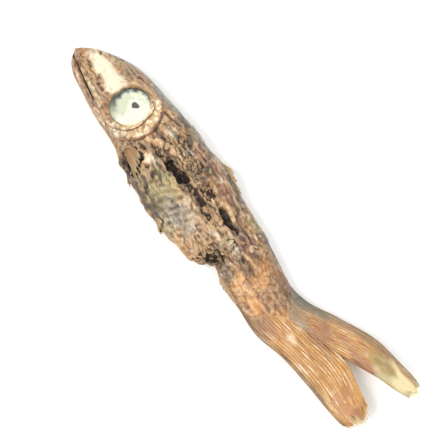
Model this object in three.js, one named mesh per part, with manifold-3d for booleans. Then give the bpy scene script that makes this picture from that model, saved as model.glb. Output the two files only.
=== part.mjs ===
// One dried anchovy, lying on its right flank with its left flank up.
// Millimetres. +X runs from the snout to the tail, +Y towards the back, +Z up.
//
// The fish is shaped straight first: x from the snout tip, y up from the middle line,
// z out of the flank. Then layOut() bends, twists and lowers it on to the table.

import * as THREE from "three";
import { mergeVertices } from "three/addons/utils/BufferGeometryUtils.js";
import Module from "manifold-3d";

// ---------------------------------------------------------------- driving dimensions

const BODY_LENGTH = 52; // snout to the end of the flesh inside the tail fin
const HEAD_LENGTH = 17.4; // snout to the rear edge of the gill cover
const ROW_CENTRE = new THREE.Vector2(33.95, 1.53); // middle of the lying fish, seen from above

// Outline of the flank, from snout to tail.
const BACK_LINE = [
  [0, 0.2], [1.2, 1.5], [3, 3.0], [6.5, 4.85], [10, 5.75], [15, 6.1], [20.3, 6.6],
  [23.6, 6.4], [26.8, 6.6], [31, 5.95], [38, 5.4], [43.5, 4.4], [47, 4.05], [52, 4.3],
];
const BELLY_LINE = [
  [0, -0.8], [1.2, -1.8], [3, -2.7], [7, -3.4], [12, -3.95], [16, -4.15], [19, -5.1],
  [24, -5.7], [30, -5.85], [33.5, -5.3], [36.2, -4.75], [37.6, -3.1], [41, -3.0],
  [45.5, -3.75], [48, -3.6], [52, -3.1],
];
// Half of the thickness between the flanks, and how high the middle lies above the table.
const HALF_WIDTH = [
  [0, 0.85], [3, 1.4], [7, 2.0], [11, 2.4], [15, 2.6], [20, 2.65], [27, 2.4], [34, 2.1],
  [40, 1.85], [45, 1.6], [52, 1.15],
];
const LIE_HEIGHT = [
  [0, 2.6], [9, 2.5], [17, 2.5], [28, 2.3], [40, 1.8], [50, 1.5], [60, 1.75], [68, 2.3],
];
const NOSE_ROUND = 1.5; // the snout tip closes over this length
const END_ROUND = 8; // and the flesh inside the tail fin over this one
const BACK_FULLNESS = 0.16; // how much thicker the back is than the belly
const SECTION_POWER = 2.5; // 2 is an ellipse, more is flatter on the flank

const TAIL_TWIST = THREE.MathUtils.degToRad(13); // the tail turns its upper lobe up
const TWIST_FROM = 32;
const TWIST_TO = 62;

// Head.
const EYE = { x: 13.2, y: 0.55, radius: 2.9, proud: 0.42, flat: 0.4 };
const SOCKET = { width: 0.5, depth: 0.45 };
const GILL_COVER = { x: 13.5, y: 0, back: 4.9, up: 4.9, down: 3.9, proud: 0.42, edge: 0.35 };
const CHEEK_RIM = { x: 12.6, y: 0.1, back: 4.0, up: 4.2, down: 3.5, proud: 0.16, edge: 0.5 };
const MOUTH = { from: [0.6, -1.0], to: [9.6, -2.75], width: 0.3, depth: 0.4 };
const BROW = { x: 8.2, y: 3.3, long: 4.2, high: 0.9, proud: 0.3 };

// The furrow along the middle of the flank, from the gill cover to the tail.
const FURROW = { from: HEAD_LENGTH + 1, to: 47, y: 0.55, width: 0.55, depth: 0.26 };

// Torn places: x, y, half length, half height, depth. A negative depth is a lump.
const LEFT_TEARS = [
  [24.9, 0.15, 2.7, 0.75, 1.1], [34.6, 2.3, 2.5, 0.7, 0.75], [29.4, 1.3, 1.5, 0.8, 0.5],
  [19.9, -3.3, 1.7, 1.1, 0.85], [23.6, -3.2, 1.0, 1.6, 0.5], [37.5, -3.3, 0.6, 1.6, 0.9],
  [28.3, -2.8, 3.0, 1.9, 0.35], [22.0, 2.4, 1.6, 0.8, -0.35], [27.5, 2.1, 1.3, 0.7, -0.3],
  [34.2, -2.4, 1.6, 1.3, -0.3], [21.2, -0.9, 1.3, 0.7, -0.35], [31.6, 0.0, 1.3, 0.8, -0.3],
];
const RIGHT_TEARS = [
  [20.6, -2.3, 2.0, 1.2, 0.8], [26.0, -3.4, 2.6, 1.1, 0.6], [31.0, -1.0, 1.9, 0.7, 0.6],
  [36.6, -3.2, 0.8, 1.4, 0.7], [24.0, 1.2, 1.4, 0.8, -0.25], [34.0, 1.9, 2.0, 0.8, -0.2],
];
const WRINKLE = 0.045; // height of the shrinkage wrinkles

// Tail fin: each lobe follows x, y, half height, half thickness from root to tip.
const UPPER_LOBE = [
  [43.5, 1.6, 2.2, 0.9], [48.5, 1.75, 2.55, 1.25], [53, 3.9, 2.4, 0.95], [58.2, 6.1, 2.3, 0.7],
  [62.3, 7.2, 1.75, 0.55], [65.6, 7.8, 1.35, 0.42], [67.9, 8.1, 0.6, 0.24],
];
const LOWER_LOBE = [
  [43.5, -1.0, 2.3, 0.9], [48.5, -0.7, 2.85, 1.3], [53, 0.1, 2.65, 1.0], [58.2, 0.75, 2.85, 0.75],
  [62.3, 0.45, 2.4, 0.6], [65.0, 0.35, 1.9, 0.45], [66.6, 0.6, 0.9, 0.24],
];
const LOBE_RIB = 0.09; // height of the ray ribs on the lobes
const LOBE_RIBS = 7;

// Folded fins: root start and end [x, y, z], how far the rays run back and out, and the
// leaf's thickness and waviness.
const FINS = [
  { root: [[25.2, 6.1, 0.3], [30.0, 5.6, 0.2]], sweep: [3.4, 1.05, 0.5], waves: 3 },
  { root: [[38.2, -2.6, -0.2], [43.4, -2.9, -0.1]], sweep: [2.2, -0.85, -0.3], waves: 3 },
  { root: [[17.2, -3.5, 0.9], [17.4, -2.5, 1.3]], sweep: [5.6, -0.7, 1.25], waves: 2 },
  { root: [[17.2, -3.5, -1.1], [17.4, -2.5, -1.3]], sweep: [5.2, -1.9, -0.6], waves: 2 },
  { root: [[27.4, -5.2, 0.6], [28.0, -5.3, 0.3]], sweep: [2.8, -0.45, 0.35], waves: 1 },
  { root: [[27.6, -5.2, -0.6], [28.2, -5.3, -0.3]], sweep: [2.7, -0.4, -0.4], waves: 1 },
];
const FIN_THICKNESS = 0.42;
const FIN_WAVE = 0.12;

// Fineness of the surface.
const HEAD_ROWS = 40;
const TRUNK_ROWS = 44;
const AROUND = 46;
const LOBE_ROWS = 16;
const LOBE_AROUND = 18;

// -------------------------------------------------------------------------- helpers

const clamp01 = (t) => Math.min(1, Math.max(0, t));
const ease = (t) => clamp01(t) ** 2 * (3 - 2 * clamp01(t));

// A smooth line through [x, value] points: cubic between each two, and at each point the
// slope of the straight line between its neighbours.
function smoothLine(points, column = 1) {
  const slope = points.map((_, i) => {
    const before = points[Math.max(0, i - 1)];
    const after = points[Math.min(points.length - 1, i + 1)];
    return (after[column] - before[column]) / (after[0] - before[0]);
  });
  return (x) => {
    let i = 0;
    while (i < points.length - 2 && x > points[i + 1][0]) i += 1;
    const width = points[i + 1][0] - points[i][0];
    const t = clamp01((x - points[i][0]) / width);
    const rise = points[i + 1][column] - points[i][column];
    const a = width * slope[i] - rise;
    const b = rise - width * slope[i + 1];
    return points[i][column] + t * rise + t * (1 - t) * ((1 - t) * a + t * b);
  };
}

const backAt = smoothLine(BACK_LINE);
const bellyAt = smoothLine(BELLY_LINE);
const halfWidthAt = smoothLine(HALF_WIDTH);
const lieHeightAt = smoothLine(LIE_HEIGHT);

// 1 at the middle of a soft oval, falling to 0 outside it.
function oval(x, y, cx, cy, rx, ry) {
  return Math.exp(-(((x - cx) / rx) ** 2) - ((y - cy) / ry) ** 2);
}

// 1 on a plate that is egg-shaped behind its middle and fades out in front of it.
function plate(x, y, { x: cx, y: cy, back, up, down, edge }) {
  const across = (y - cy) / (y > cy ? up : down);
  const along = (x - cx) / back;
  const reach = Math.hypot(Math.max(along, 0), across);
  const front = ease((x - cx + back) / back);
  return ease((1 - reach) * (back / edge)) * front;
}

// How far a point of the flank lies from the straight line between two others.
function distanceToLine(x, y, [ax, ay], [bx, by]) {
  const length = Math.hypot(bx - ax, by - ay);
  const t = clamp01(((x - ax) * (bx - ax) + (y - ay) * (by - ay)) / length ** 2);
  return Math.hypot(x - ax - t * (bx - ax), y - ay - t * (by - ay));
}

// ------------------------------------------------------------------------- the flank

// Height of the relief on a flank, in millimetres outwards. side is 1 left, -1 right.
function relief(x, y, side) {
  let height = GILL_COVER.proud * plate(x, y, GILL_COVER);
  height += CHEEK_RIM.proud * plate(x, y, CHEEK_RIM);
  const fromEye = Math.hypot(x - EYE.x, y - EYE.y) - EYE.radius;
  height -= SOCKET.depth * Math.exp(-((fromEye / SOCKET.width) ** 2));
  const fromMouth = distanceToLine(x, y, MOUTH.from, MOUTH.to);
  height -= MOUTH.depth * Math.exp(-((fromMouth / MOUTH.width) ** 2));
  height += BROW.proud * oval(x, y, BROW.x, BROW.y, BROW.long, BROW.high);

  const inFurrow = ease((x - FURROW.from) / 3) * ease((FURROW.to - x) / 6);
  height -= FURROW.depth * inFurrow * Math.exp(-(((y - FURROW.y) / FURROW.width) ** 2));

  for (const [cx, cy, rx, ry, depth] of side > 0 ? LEFT_TEARS : RIGHT_TEARS) {
    height -= depth * oval(x, y, cx, cy, rx, ry);
  }
  const onTrunk = ease((x - HEAD_LENGTH) / 2) * ease((BODY_LENGTH - x) / 8);
  const folds = Math.sin(1.3 * x + 1.1 * Math.abs(y) + side) + Math.sin(1.7 * y - 0.6 * x);
  return height + WRINKLE * folds * onTrunk;
}

// One point of the straight fish: x along it, and angle round it from the back.
function skinPoint(x, angle) {
  const nose = clamp01(x / NOSE_ROUND);
  const end = clamp01((BODY_LENGTH - x) / END_ROUND);
  const closing = Math.sqrt(1 - (1 - nose) ** 2) * Math.sqrt(1 - (1 - end) ** 2);
  const across = Math.cos(angle);
  const side = Math.sign(Math.sin(angle)) || 1;
  const middle = (backAt(x) + bellyAt(x)) / 2;
  const y = middle + closing * across * (backAt(x) - bellyAt(x)) * 0.5;
  const bulge = Math.sqrt(Math.max(0, 1 - Math.abs(across) ** SECTION_POWER));
  const full = closing * halfWidthAt(x) * bulge * (1 + BACK_FULLNESS * across);
  const edgeFade = ease(bulge * 1.6) * closing;
  const raised = Math.max(0.12 * full, full + relief(x, y, side) * edgeFade);
  return new THREE.Vector3(x, y, side * raised);
}

// ------------------------------------------------------------------- lying on the table

function layOut(p) {
  const twist = TAIL_TWIST * ease((p.x - TWIST_FROM) / (TWIST_TO - TWIST_FROM));
  const y = p.y * Math.cos(twist) - p.z * Math.sin(twist);
  const z = lieHeightAt(p.x) + p.y * Math.sin(twist) + p.z * Math.cos(twist);
  return new THREE.Vector3(p.x - ROW_CENTRE.x, y - ROW_CENTRE.y, Math.max(0, z));
}

// ---------------------------------------------------------------------- closed solids

// A closed skin of rings between two end points. ring(i, j) gives point j of ring i.
function ringSolid(rings, around, ring, startPoint, endPoint) {
  const points = [startPoint];
  for (let i = 0; i < rings; i += 1) {
    for (let j = 0; j < around; j += 1) points.push(ring(i, j));
  }
  points.push(endPoint);
  const last = points.length - 1;
  const at = (i, j) => 1 + i * around + (j % around);
  const faces = [];
  for (let j = 0; j < around; j += 1) {
    faces.push(0, at(0, j), at(0, j + 1));
    faces.push(last, at(rings - 1, j + 1), at(rings - 1, j));
    for (let i = 0; i < rings - 1; i += 1) {
      faces.push(at(i, j), at(i + 1, j), at(i + 1, j + 1));
      faces.push(at(i, j), at(i + 1, j + 1), at(i, j + 1));
    }
  }
  return closedGeometry(points, faces);
}

function closedGeometry(points, faces) {
  const geometry = new THREE.BufferGeometry();
  const flat = points.flatMap((p) => [p.x, p.y, p.z]);
  geometry.setAttribute("position", new THREE.Float32BufferAttribute(flat, 3));
  geometry.setIndex(faces);
  return outwards(geometry);
}

// Turns a closed skin the right way out, if its volume comes out negative.
function outwards(geometry) {
  const at = geometry.getAttribute("position");
  const index = geometry.getIndex().array;
  const corner = [0, 1, 2].map(() => new THREE.Vector3());
  let volume = 0;
  for (let i = 0; i < index.length; i += 3) {
    corner.forEach((c, k) => c.fromBufferAttribute(at, index[i + k]));
    volume += corner[0].dot(corner[1].clone().cross(corner[2]));
  }
  if (volume < 0) {
    for (let i = 0; i < index.length; i += 3) {
      [index[i + 1], index[i + 2]] = [index[i + 2], index[i + 1]];
    }
  }
  return geometry;
}

// Head and trunk in one skin, with closer rows on the head.
function bodySolid() {
  const rowX = [];
  for (let i = 1; i <= HEAD_ROWS; i += 1) {
    rowX.push((HEAD_LENGTH + 1) * (i / HEAD_ROWS) ** 1.25);
  }
  const trunkFrom = rowX.at(-1);
  for (let i = 1; i < TRUNK_ROWS; i += 1) {
    rowX.push(trunkFrom + (BODY_LENGTH - trunkFrom) * (1 - (1 - i / TRUNK_ROWS) ** 1.15));
  }
  const ring = (i, j) => layOut(skinPoint(rowX[i], (2 * Math.PI * j) / AROUND));
  const nose = layOut(skinPoint(0, 0));
  const end = layOut(skinPoint(BODY_LENGTH, 0));
  return ringSolid(rowX.length, AROUND, ring, nose, end);
}

// A flattened eyeball, standing a little proud of the flank.
function eyeSolid(side) {
  const flank = skinPoint(EYE.x, side > 0 ? Math.PI / 2 : -Math.PI / 2).z;
  const geometry = new THREE.SphereGeometry(EYE.radius, 20, 12);
  geometry.rotateX(Math.PI / 2);
  geometry.scale(1, 1, EYE.flat);
  geometry.translate(EYE.x, EYE.y, flank + side * (EYE.proud - EYE.radius * EYE.flat));
  const at = geometry.getAttribute("position");
  for (let i = 0; i < at.count; i += 1) {
    const p = layOut(new THREE.Vector3().fromBufferAttribute(at, i));
    at.setXYZ(i, p.x, p.y, p.z);
  }
  return geometry;
}

// One lobe of the tail fin: dried and rolled, ribbed by its rays.
function lobeSolid(line, wave) {
  const from = line[0][0];
  const to = line.at(-1)[0];
  const heightAt = smoothLine(line, 1);
  const reachAt = smoothLine(line, 2);
  const thickAt = smoothLine(line, 3);
  const ring = (i, j) => {
    const x = from + (to - from) * ((i + 0.5) / LOBE_ROWS);
    const angle = (2 * Math.PI * j) / LOBE_AROUND;
    const across = Math.cos(angle);
    const rib = LOBE_RIB * Math.cos(LOBE_RIBS * Math.PI * across) * (1 - across ** 2);
    const curl = wave * Math.sin(1.9 * across + 0.35 * x) * ease((x - 50) / 10);
    const z = Math.sin(angle) * (thickAt(x) + rib) + curl;
    return layOut(new THREE.Vector3(x, heightAt(x) + across * reachAt(x), z));
  };
  const curlAt = (x) => wave * Math.sin(0.35 * x) * ease((x - 50) / 10);
  const root = layOut(new THREE.Vector3(from, heightAt(from), curlAt(from)));
  const tip = layOut(new THREE.Vector3(to, heightAt(to), curlAt(to)));
  return ringSolid(LOBE_ROWS, LOBE_AROUND, ring, root, tip);
}

// A small fin folded back on the body: a thin wavy leaf, both faces split alike.
function finSolid({ root: [first, second], sweep, waves }) {
  const along = 8;
  const out = 6;
  const points = [];
  for (const face of [-1, 1]) {
    for (let i = 0; i <= along; i += 1) {
      for (let j = 0; j <= out; j += 1) {
        const u = i / along;
        const v = j / out;
        const length = 1 - 0.45 * u;
        const wave = FIN_WAVE * Math.sin(2 * Math.PI * waves * u) * v;
        const half = 0.5 * FIN_THICKNESS * (1 - 0.45 * v);
        const p = [0, 1, 2].map((k) => {
          const start = first[k] + u * (second[k] - first[k]);
          return start + v * length * sweep[k];
        });
        const flat = Math.abs(sweep[1]) > Math.abs(sweep[2]) ? 2 : 1;
        p[flat] += wave + face * half;
        points.push(layOut(new THREE.Vector3(...p)));
      }
    }
  }
  const face = (side, i, j) => side * (along + 1) * (out + 1) + i * (out + 1) + j;
  const faces = [];
  const quad = (a, b, c, d) => faces.push(a, b, c, a, c, d);
  for (let i = 0; i < along; i += 1) {
    for (let j = 0; j < out; j += 1) {
      quad(face(0, i, j), face(0, i, j + 1), face(0, i + 1, j + 1), face(0, i + 1, j));
      quad(face(1, i, j), face(1, i + 1, j), face(1, i + 1, j + 1), face(1, i, j + 1));
    }
  }
  for (let i = 0; i < along; i += 1) {
    quad(face(0, i, 0), face(0, i + 1, 0), face(1, i + 1, 0), face(1, i, 0));
    quad(face(0, i, out), face(1, i, out), face(1, i + 1, out), face(0, i + 1, out));
  }
  for (let j = 0; j < out; j += 1) {
    quad(face(0, 0, j), face(1, 0, j), face(1, 0, j + 1), face(0, 0, j + 1));
    quad(face(0, along, j), face(0, along, j + 1), face(1, along, j + 1), face(1, along, j));
  }
  return closedGeometry(points, faces);
}

// -------------------------------------------------------------------- joined in one piece

const wasm = await Module();
wasm.setup();

function toManifold(geometry) {
  const bare = geometry.clone();
  bare.deleteAttribute("normal");
  bare.deleteAttribute("uv");
  const merged = mergeVertices(bare, 1e-5);
  const vertProperties = Float32Array.from(merged.getAttribute("position").array);
  const triVerts = Uint32Array.from(merged.getIndex().array);
  return new wasm.Manifold(new wasm.Mesh({ numProp: 3, vertProperties, triVerts }));
}

function toGeometry(manifold) {
  const mesh = manifold.getMesh();
  const geometry = new THREE.BufferGeometry();
  geometry.setAttribute("position", new THREE.BufferAttribute(mesh.vertProperties, 3));
  geometry.setIndex(new THREE.BufferAttribute(mesh.triVerts, 1));
  geometry.computeVertexNormals();
  return geometry;
}

const joined = [
  eyeSolid(1),
  eyeSolid(-1),
  lobeSolid(UPPER_LOBE, 0.25),
  lobeSolid(LOWER_LOBE, -0.2),
  ...FINS.map(finSolid),
].reduce((whole, piece) => whole.add(toManifold(piece)), toManifold(bodySolid()));

const anchovy = new THREE.Mesh(
  toGeometry(joined),
  new THREE.MeshStandardMaterial({ color: 0x8a6a42, roughness: 0.5, metalness: 0.05 }),
);
anchovy.name = "anchovy";

const driedAnchovy = new THREE.Group();
driedAnchovy.add(anchovy);

export default driedAnchovy;
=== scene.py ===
"""One dried anchovy, lying on its right flank with its left flank up.

The fish is shaped straight first, in millimetres: x from the snout tip to the tail, y from the
belly to the back, z out of the left flank. lay_out() then bends, twists and lowers it on to the
table, and only the finished meshes are in metres.
"""

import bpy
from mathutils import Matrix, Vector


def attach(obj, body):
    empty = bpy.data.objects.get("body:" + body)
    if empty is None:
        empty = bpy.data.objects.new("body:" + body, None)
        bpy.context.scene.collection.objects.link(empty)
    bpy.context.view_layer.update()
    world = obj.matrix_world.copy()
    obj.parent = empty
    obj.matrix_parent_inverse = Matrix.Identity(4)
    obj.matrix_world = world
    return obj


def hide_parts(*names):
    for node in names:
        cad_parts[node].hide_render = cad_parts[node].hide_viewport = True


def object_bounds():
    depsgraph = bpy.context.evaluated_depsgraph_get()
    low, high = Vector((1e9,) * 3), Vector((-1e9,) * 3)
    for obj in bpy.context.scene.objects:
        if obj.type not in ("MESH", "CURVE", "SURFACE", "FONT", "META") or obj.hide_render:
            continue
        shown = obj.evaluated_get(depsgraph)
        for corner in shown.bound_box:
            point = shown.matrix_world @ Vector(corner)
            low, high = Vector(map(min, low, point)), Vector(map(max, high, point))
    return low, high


bl_info = {
    "name": "Dried anchovy",
    "version": (1, 0, 0),
    "blender": (4, 5, 0),
    "location": "3D View > Sidebar > Anchovy",
    "description": "Builds one dried anchovy from its outline, relief and skin patches",
    "category": "Add Mesh",
}

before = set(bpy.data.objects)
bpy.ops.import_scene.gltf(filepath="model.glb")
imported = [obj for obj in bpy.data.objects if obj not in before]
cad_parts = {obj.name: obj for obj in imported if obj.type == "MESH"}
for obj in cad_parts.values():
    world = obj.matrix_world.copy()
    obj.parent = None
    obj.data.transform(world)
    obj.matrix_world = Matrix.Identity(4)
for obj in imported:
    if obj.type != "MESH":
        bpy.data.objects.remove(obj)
cad_low, cad_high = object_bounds()

import math

import bmesh
import bpy
import numpy as np
from bpy.props import FloatProperty, FloatVectorProperty, IntProperty, PointerProperty
from mathutils import Vector

NODE = "anchovy"
MM = 0.001  # metres in a millimetre

# ---- sizes of the straight fish

BODY_LENGTH = 52.0  # snout to the end of the trunk, inside the tail lobes
HEAD_LENGTH = 17.4
LOOSE_FROM = 17.0  # x behind which the belly is worn more, flakes lift and crumbs lie
ROW_CENTRE = (33.95, 1.53)  # straight x and y of the frame's middle

# Outline of the flank, from snout to tail: x, y.
BACK_LINE = [
    (0, 0.2), (1.2, 1.5), (3, 3.0), (6.5, 4.85), (10, 5.75), (15, 6.1), (20.3, 6.6),
    (23.6, 6.4), (26.8, 6.6), (31, 5.95), (38, 5.4), (43.5, 4.4), (47, 4.05), (52, 4.3),
]
BELLY_LINE = [
    (0, -0.8), (1.2, -1.8), (3, -2.7), (7, -3.4), (12, -3.95), (16, -4.15), (19, -5.1),
    (24, -5.7), (30, -5.85), (33.5, -5.3), (36.2, -4.75), (37.6, -3.1), (41, -3.0),
    (45.5, -3.75), (48, -3.6), (52, -3.1),
]
# Half of the thickness between the flanks, and how high the middle lies above the table.
HALF_WIDTH = [
    (0, 0.85), (3, 1.4), (7, 2.0), (11, 2.4), (15, 2.6), (20, 2.65), (27, 2.4), (34, 2.1),
    (40, 1.85), (45, 1.6), (52, 1.15),
]
LIE_HEIGHT = [
    (0, 2.6), (9, 2.5), (17, 2.5), (28, 2.3), (40, 1.8), (50, 1.5), (60, 1.75), (68, 2.3),
]
NOSE_ROUND, END_ROUND = 1.5, 8.0  # lengths over which the body closes at the snout and at the tail
BACK_FULLNESS = 0.16  # how much fuller the section is at the back than at its middle
SECTION_POWER = 2.5  # 2 is an ellipse, and more is boxier
TAIL_TWIST = math.radians(13)  # turn of the tail about the long axis
TWIST_FROM, TWIST_TO = 32.0, 62.0  # x where the turn begins and ends
LIE_SOFTNESS = 0.22  # how softly the underside flattens on the table
LIE_SINK = 0.004  # takes the softly flattened underside back down to the table
ROW_SPREAD = 1.12  # above 1, the body's rings stand closer at the snout
EDGE_WEAR = 0.14  # how far the edges of back and belly are worn in
BELLY_WEAR = 2.2  # how many times more of that the belly has behind the head
SIDE_CHANGE = 1.2  # width of the soft change from the left flank to the right one
RIGHT_SHIFT = 1.6  # how far further back the right flank has the same patches
SIDES = (("left", 1), ("right", -1))  # names of the flanks, and where their z points

# Head.
EYE_X, EYE_Y = 13.2, 0.55
EYE_PROUD = 0.42  # how far the eye stands out of the flank
SOCKET_WIDTH, SOCKET_DEPTH = 0.5, 0.45
MOUTH = ((0.6, -1.0), (9.6, -2.75))  # both ends of its line
MOUTH_WIDTH, MOUTH_DEPTH = 0.26, 0.55
# Soft ovals: x, y, half length, half height, and how high or deep.
BROW = (8.2, 3.3, 4.2, 0.9, 0.3)
CHEEK_HOLLOW = (8.2, -0.5, 1.5, 0.9, 0.30)
NOSTRIL = (3.3, 2.0, 0.36, 0.22, 0.40)
# Plates round the eye: centre x, y, and how far they reach back, up and down from it.
GILL_COVER = (13.5, 0.0, 4.9, 4.9, 3.9)
CHEEK_PLATE = (12.6, 0.1, 4.0, 4.2, 3.5)

# Bony lines of the head: from, to, half width, rise. A negative rise is a groove.
HEAD_LINES = [
    ((2.6, 1.9), (9.4, 4.2), 0.30, 0.16), ((2.2, 2.7), (14.5, 5.1), 0.22, -0.16),
    ((1.6, -0.1), (9.0, -0.9), 0.22, -0.20), ((3.0, 0.6), (8.6, 0.1), 0.30, 0.10),
    ((7.6, 3.6), (11.0, 4.4), 0.22, -0.14), ((9.5, 5.2), (16.5, 5.4), 0.20, -0.14),
    ((16.2, 3.9), (19.6, 4.9), 0.25, -0.22), ((9.6, -2.0), (13.8, -2.4), 0.25, 0.12),
]

# Jaws: middle line (x, y), half width (x, width), lift off the flank, seed.
JAWS = {
    "upper_jaw": (
        [(1.6, -0.9), (4.0, -1.45), (7.0, -1.95), (10.4, -2.55), (12.2, -3.0)],
        [(1.6, 0.12), (4.0, 0.26), (9.5, 0.42), (11.5, 0.4), (12.2, 0.12)], 0.08, 260,
    ),
    "lower_jaw": (
        [(1.9, -1.75), (4.0, -2.35), (7.0, -2.85), (10.5, -3.3), (13.0, -3.55)],
        [(1.9, 0.12), (4.0, 0.24), (8.0, 0.33), (11.5, 0.33), (13.0, 0.1)], 0.05, 270,
    ),
}

# Furrow along the middle of the flank.
FURROW_FROM, FURROW_TO, FURROW_Y, FURROW_WIDTH, FURROW_DEPTH = 18.4, 47.0, 0.55, 0.5, 0.3

# Holes and hollows: x, y, half length, half height, depth. A negative depth is a lump.
LEFT_TEARS = [
    (24.6, 0.15, 2.6, 0.52, 1.1), (34.5, 2.2, 2.1, 0.52, 0.8), (29.4, 1.2, 1.5, 0.7, 0.5),
    (19.9, -3.4, 1.7, 1.1, 0.85), (23.6, -3.3, 1.0, 1.6, 0.38), (37.5, -3.4, 0.6, 1.6, 0.9),
    (28.3, -2.9, 3.0, 1.9, 0.35), (22.0, 2.3, 1.6, 0.8, -0.35), (27.5, 2.0, 1.3, 0.7, -0.3),
    (34.2, -2.5, 1.6, 1.3, -0.3), (21.2, -1.0, 1.3, 0.7, -0.35), (31.6, -0.1, 1.3, 0.8, -0.3),
]
RIGHT_TEARS = [
    (20.6, -2.3, 2.0, 1.2, 0.8), (26.0, -3.4, 2.6, 1.1, 0.6), (31.0, -1.0, 1.9, 0.7, 0.6),
    (36.6, -3.2, 0.8, 1.4, 0.7), (24.0, 1.2, 1.4, 0.8, -0.25), (34.0, 1.9, 2.0, 0.8, -0.2),
]

DEEP = 0.45  # hollows deeper than this have steep, torn edges

# Where the skin is torn off: x, y, half length, half height, strength.
LEFT_BARE = [
    (28.0, 1.4, 9.5, 2.3, 1.0), (20.0, -3.2, 2.6, 2.3, 1.0), (37.1, -2.9, 1.4, 2.4, 1.0),
    (23.5, 3.3, 3.2, 1.6, 0.6), (34.0, -2.9, 2.2, 1.6, 0.55),
]
RIGHT_BARE = [(23.5, -2.4, 5.5, 2.0, 1.0), (32.0, -0.6, 3.6, 1.3, 0.8), (36.6, -3.0, 1.4, 1.8, 1.0)]
BELLY_PANEL = (28.5, -2.9, 4.4, 2.2)  # the smooth membrane over the gut

# Tail fin: each lobe follows x, y, half height, half thickness from root to tip.
UPPER_LOBE = [
    (43.5, 1.6, 2.2, 0.9), (48.5, 1.75, 2.55, 1.25), (53, 3.9, 2.4, 0.95), (58.2, 6.1, 2.3, 0.7),
    (62.3, 7.2, 1.75, 0.55), (65.6, 7.8, 1.35, 0.42), (67.9, 8.1, 0.6, 0.24),
]
LOWER_LOBE = [
    (43.5, -1.0, 2.3, 0.9), (48.5, -0.7, 2.85, 1.3), (53, 0.1, 2.65, 1.0), (58.2, 0.75, 2.85, 0.75),
    (62.3, 0.45, 2.4, 0.6), (65.0, 0.35, 1.9, 0.45), (66.6, 0.6, 0.9, 0.24),
]
LOBE_WAVE = {"upper": 0.25, "lower": -0.2}  # how far a lobe's ripples leave its plane

# Patches of colour on the lobes: x, y, half length, half height, strength.
LOBE_PATCHES = {
    "rust": [
        (53.5, 3.2, 3.6, 1.5, 1.1), (60.5, 5.1, 4.5, 0.7, 1.2), (64.8, 0.8, 1.6, 1.6, 0.9),
        (49.0, -2.0, 2.2, 1.2, 0.9),
    ],
    "olive": [(61.6, 7.0, 3.4, 0.9, 1.3), (57.0, 2.2, 2.4, 0.9, 0.7), (50.0, 4.6, 2.4, 1.0, 1.1)],
    "cream": [(51.2, 1.5, 1.5, 0.9, 0.7), (51.8, -0.2, 1.3, 0.9, 0.65)],
}

# Folded fins: root start and end, how far the longest ray runs, and how many rays.
FINS = {
    "dorsal_fin": ((25.2, 6.1, 0.3), (30.0, 5.6, 0.2), (3.4, 1.05, 0.5), 20),
    "anal_fin": ((38.2, -2.6, -0.2), (43.4, -2.9, -0.1), (2.2, -0.85, -0.3), 24),
    "left_pectoral_fin": ((17.2, -3.5, 0.9), (17.4, -2.5, 1.3), (5.6, -0.7, 1.25), 15),
    "right_pectoral_fin": ((17.2, -3.5, -1.1), (17.4, -2.5, -1.3), (5.2, -1.9, -0.6), 15),
    "left_pelvic_fin": ((27.4, -5.2, 0.6), (28.0, -5.3, 0.3), (2.8, -0.45, 0.35), 9),
    "right_pelvic_fin": ((27.6, -5.2, -0.6), (28.2, -5.3, -0.3), (2.7, -0.4, -0.4), 9),
}

FIN_SEED = 400
FIN_TONES = {"grey": 0.15, "edge": 0.3, "rust": 0.3, "web": 0.4}

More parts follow.
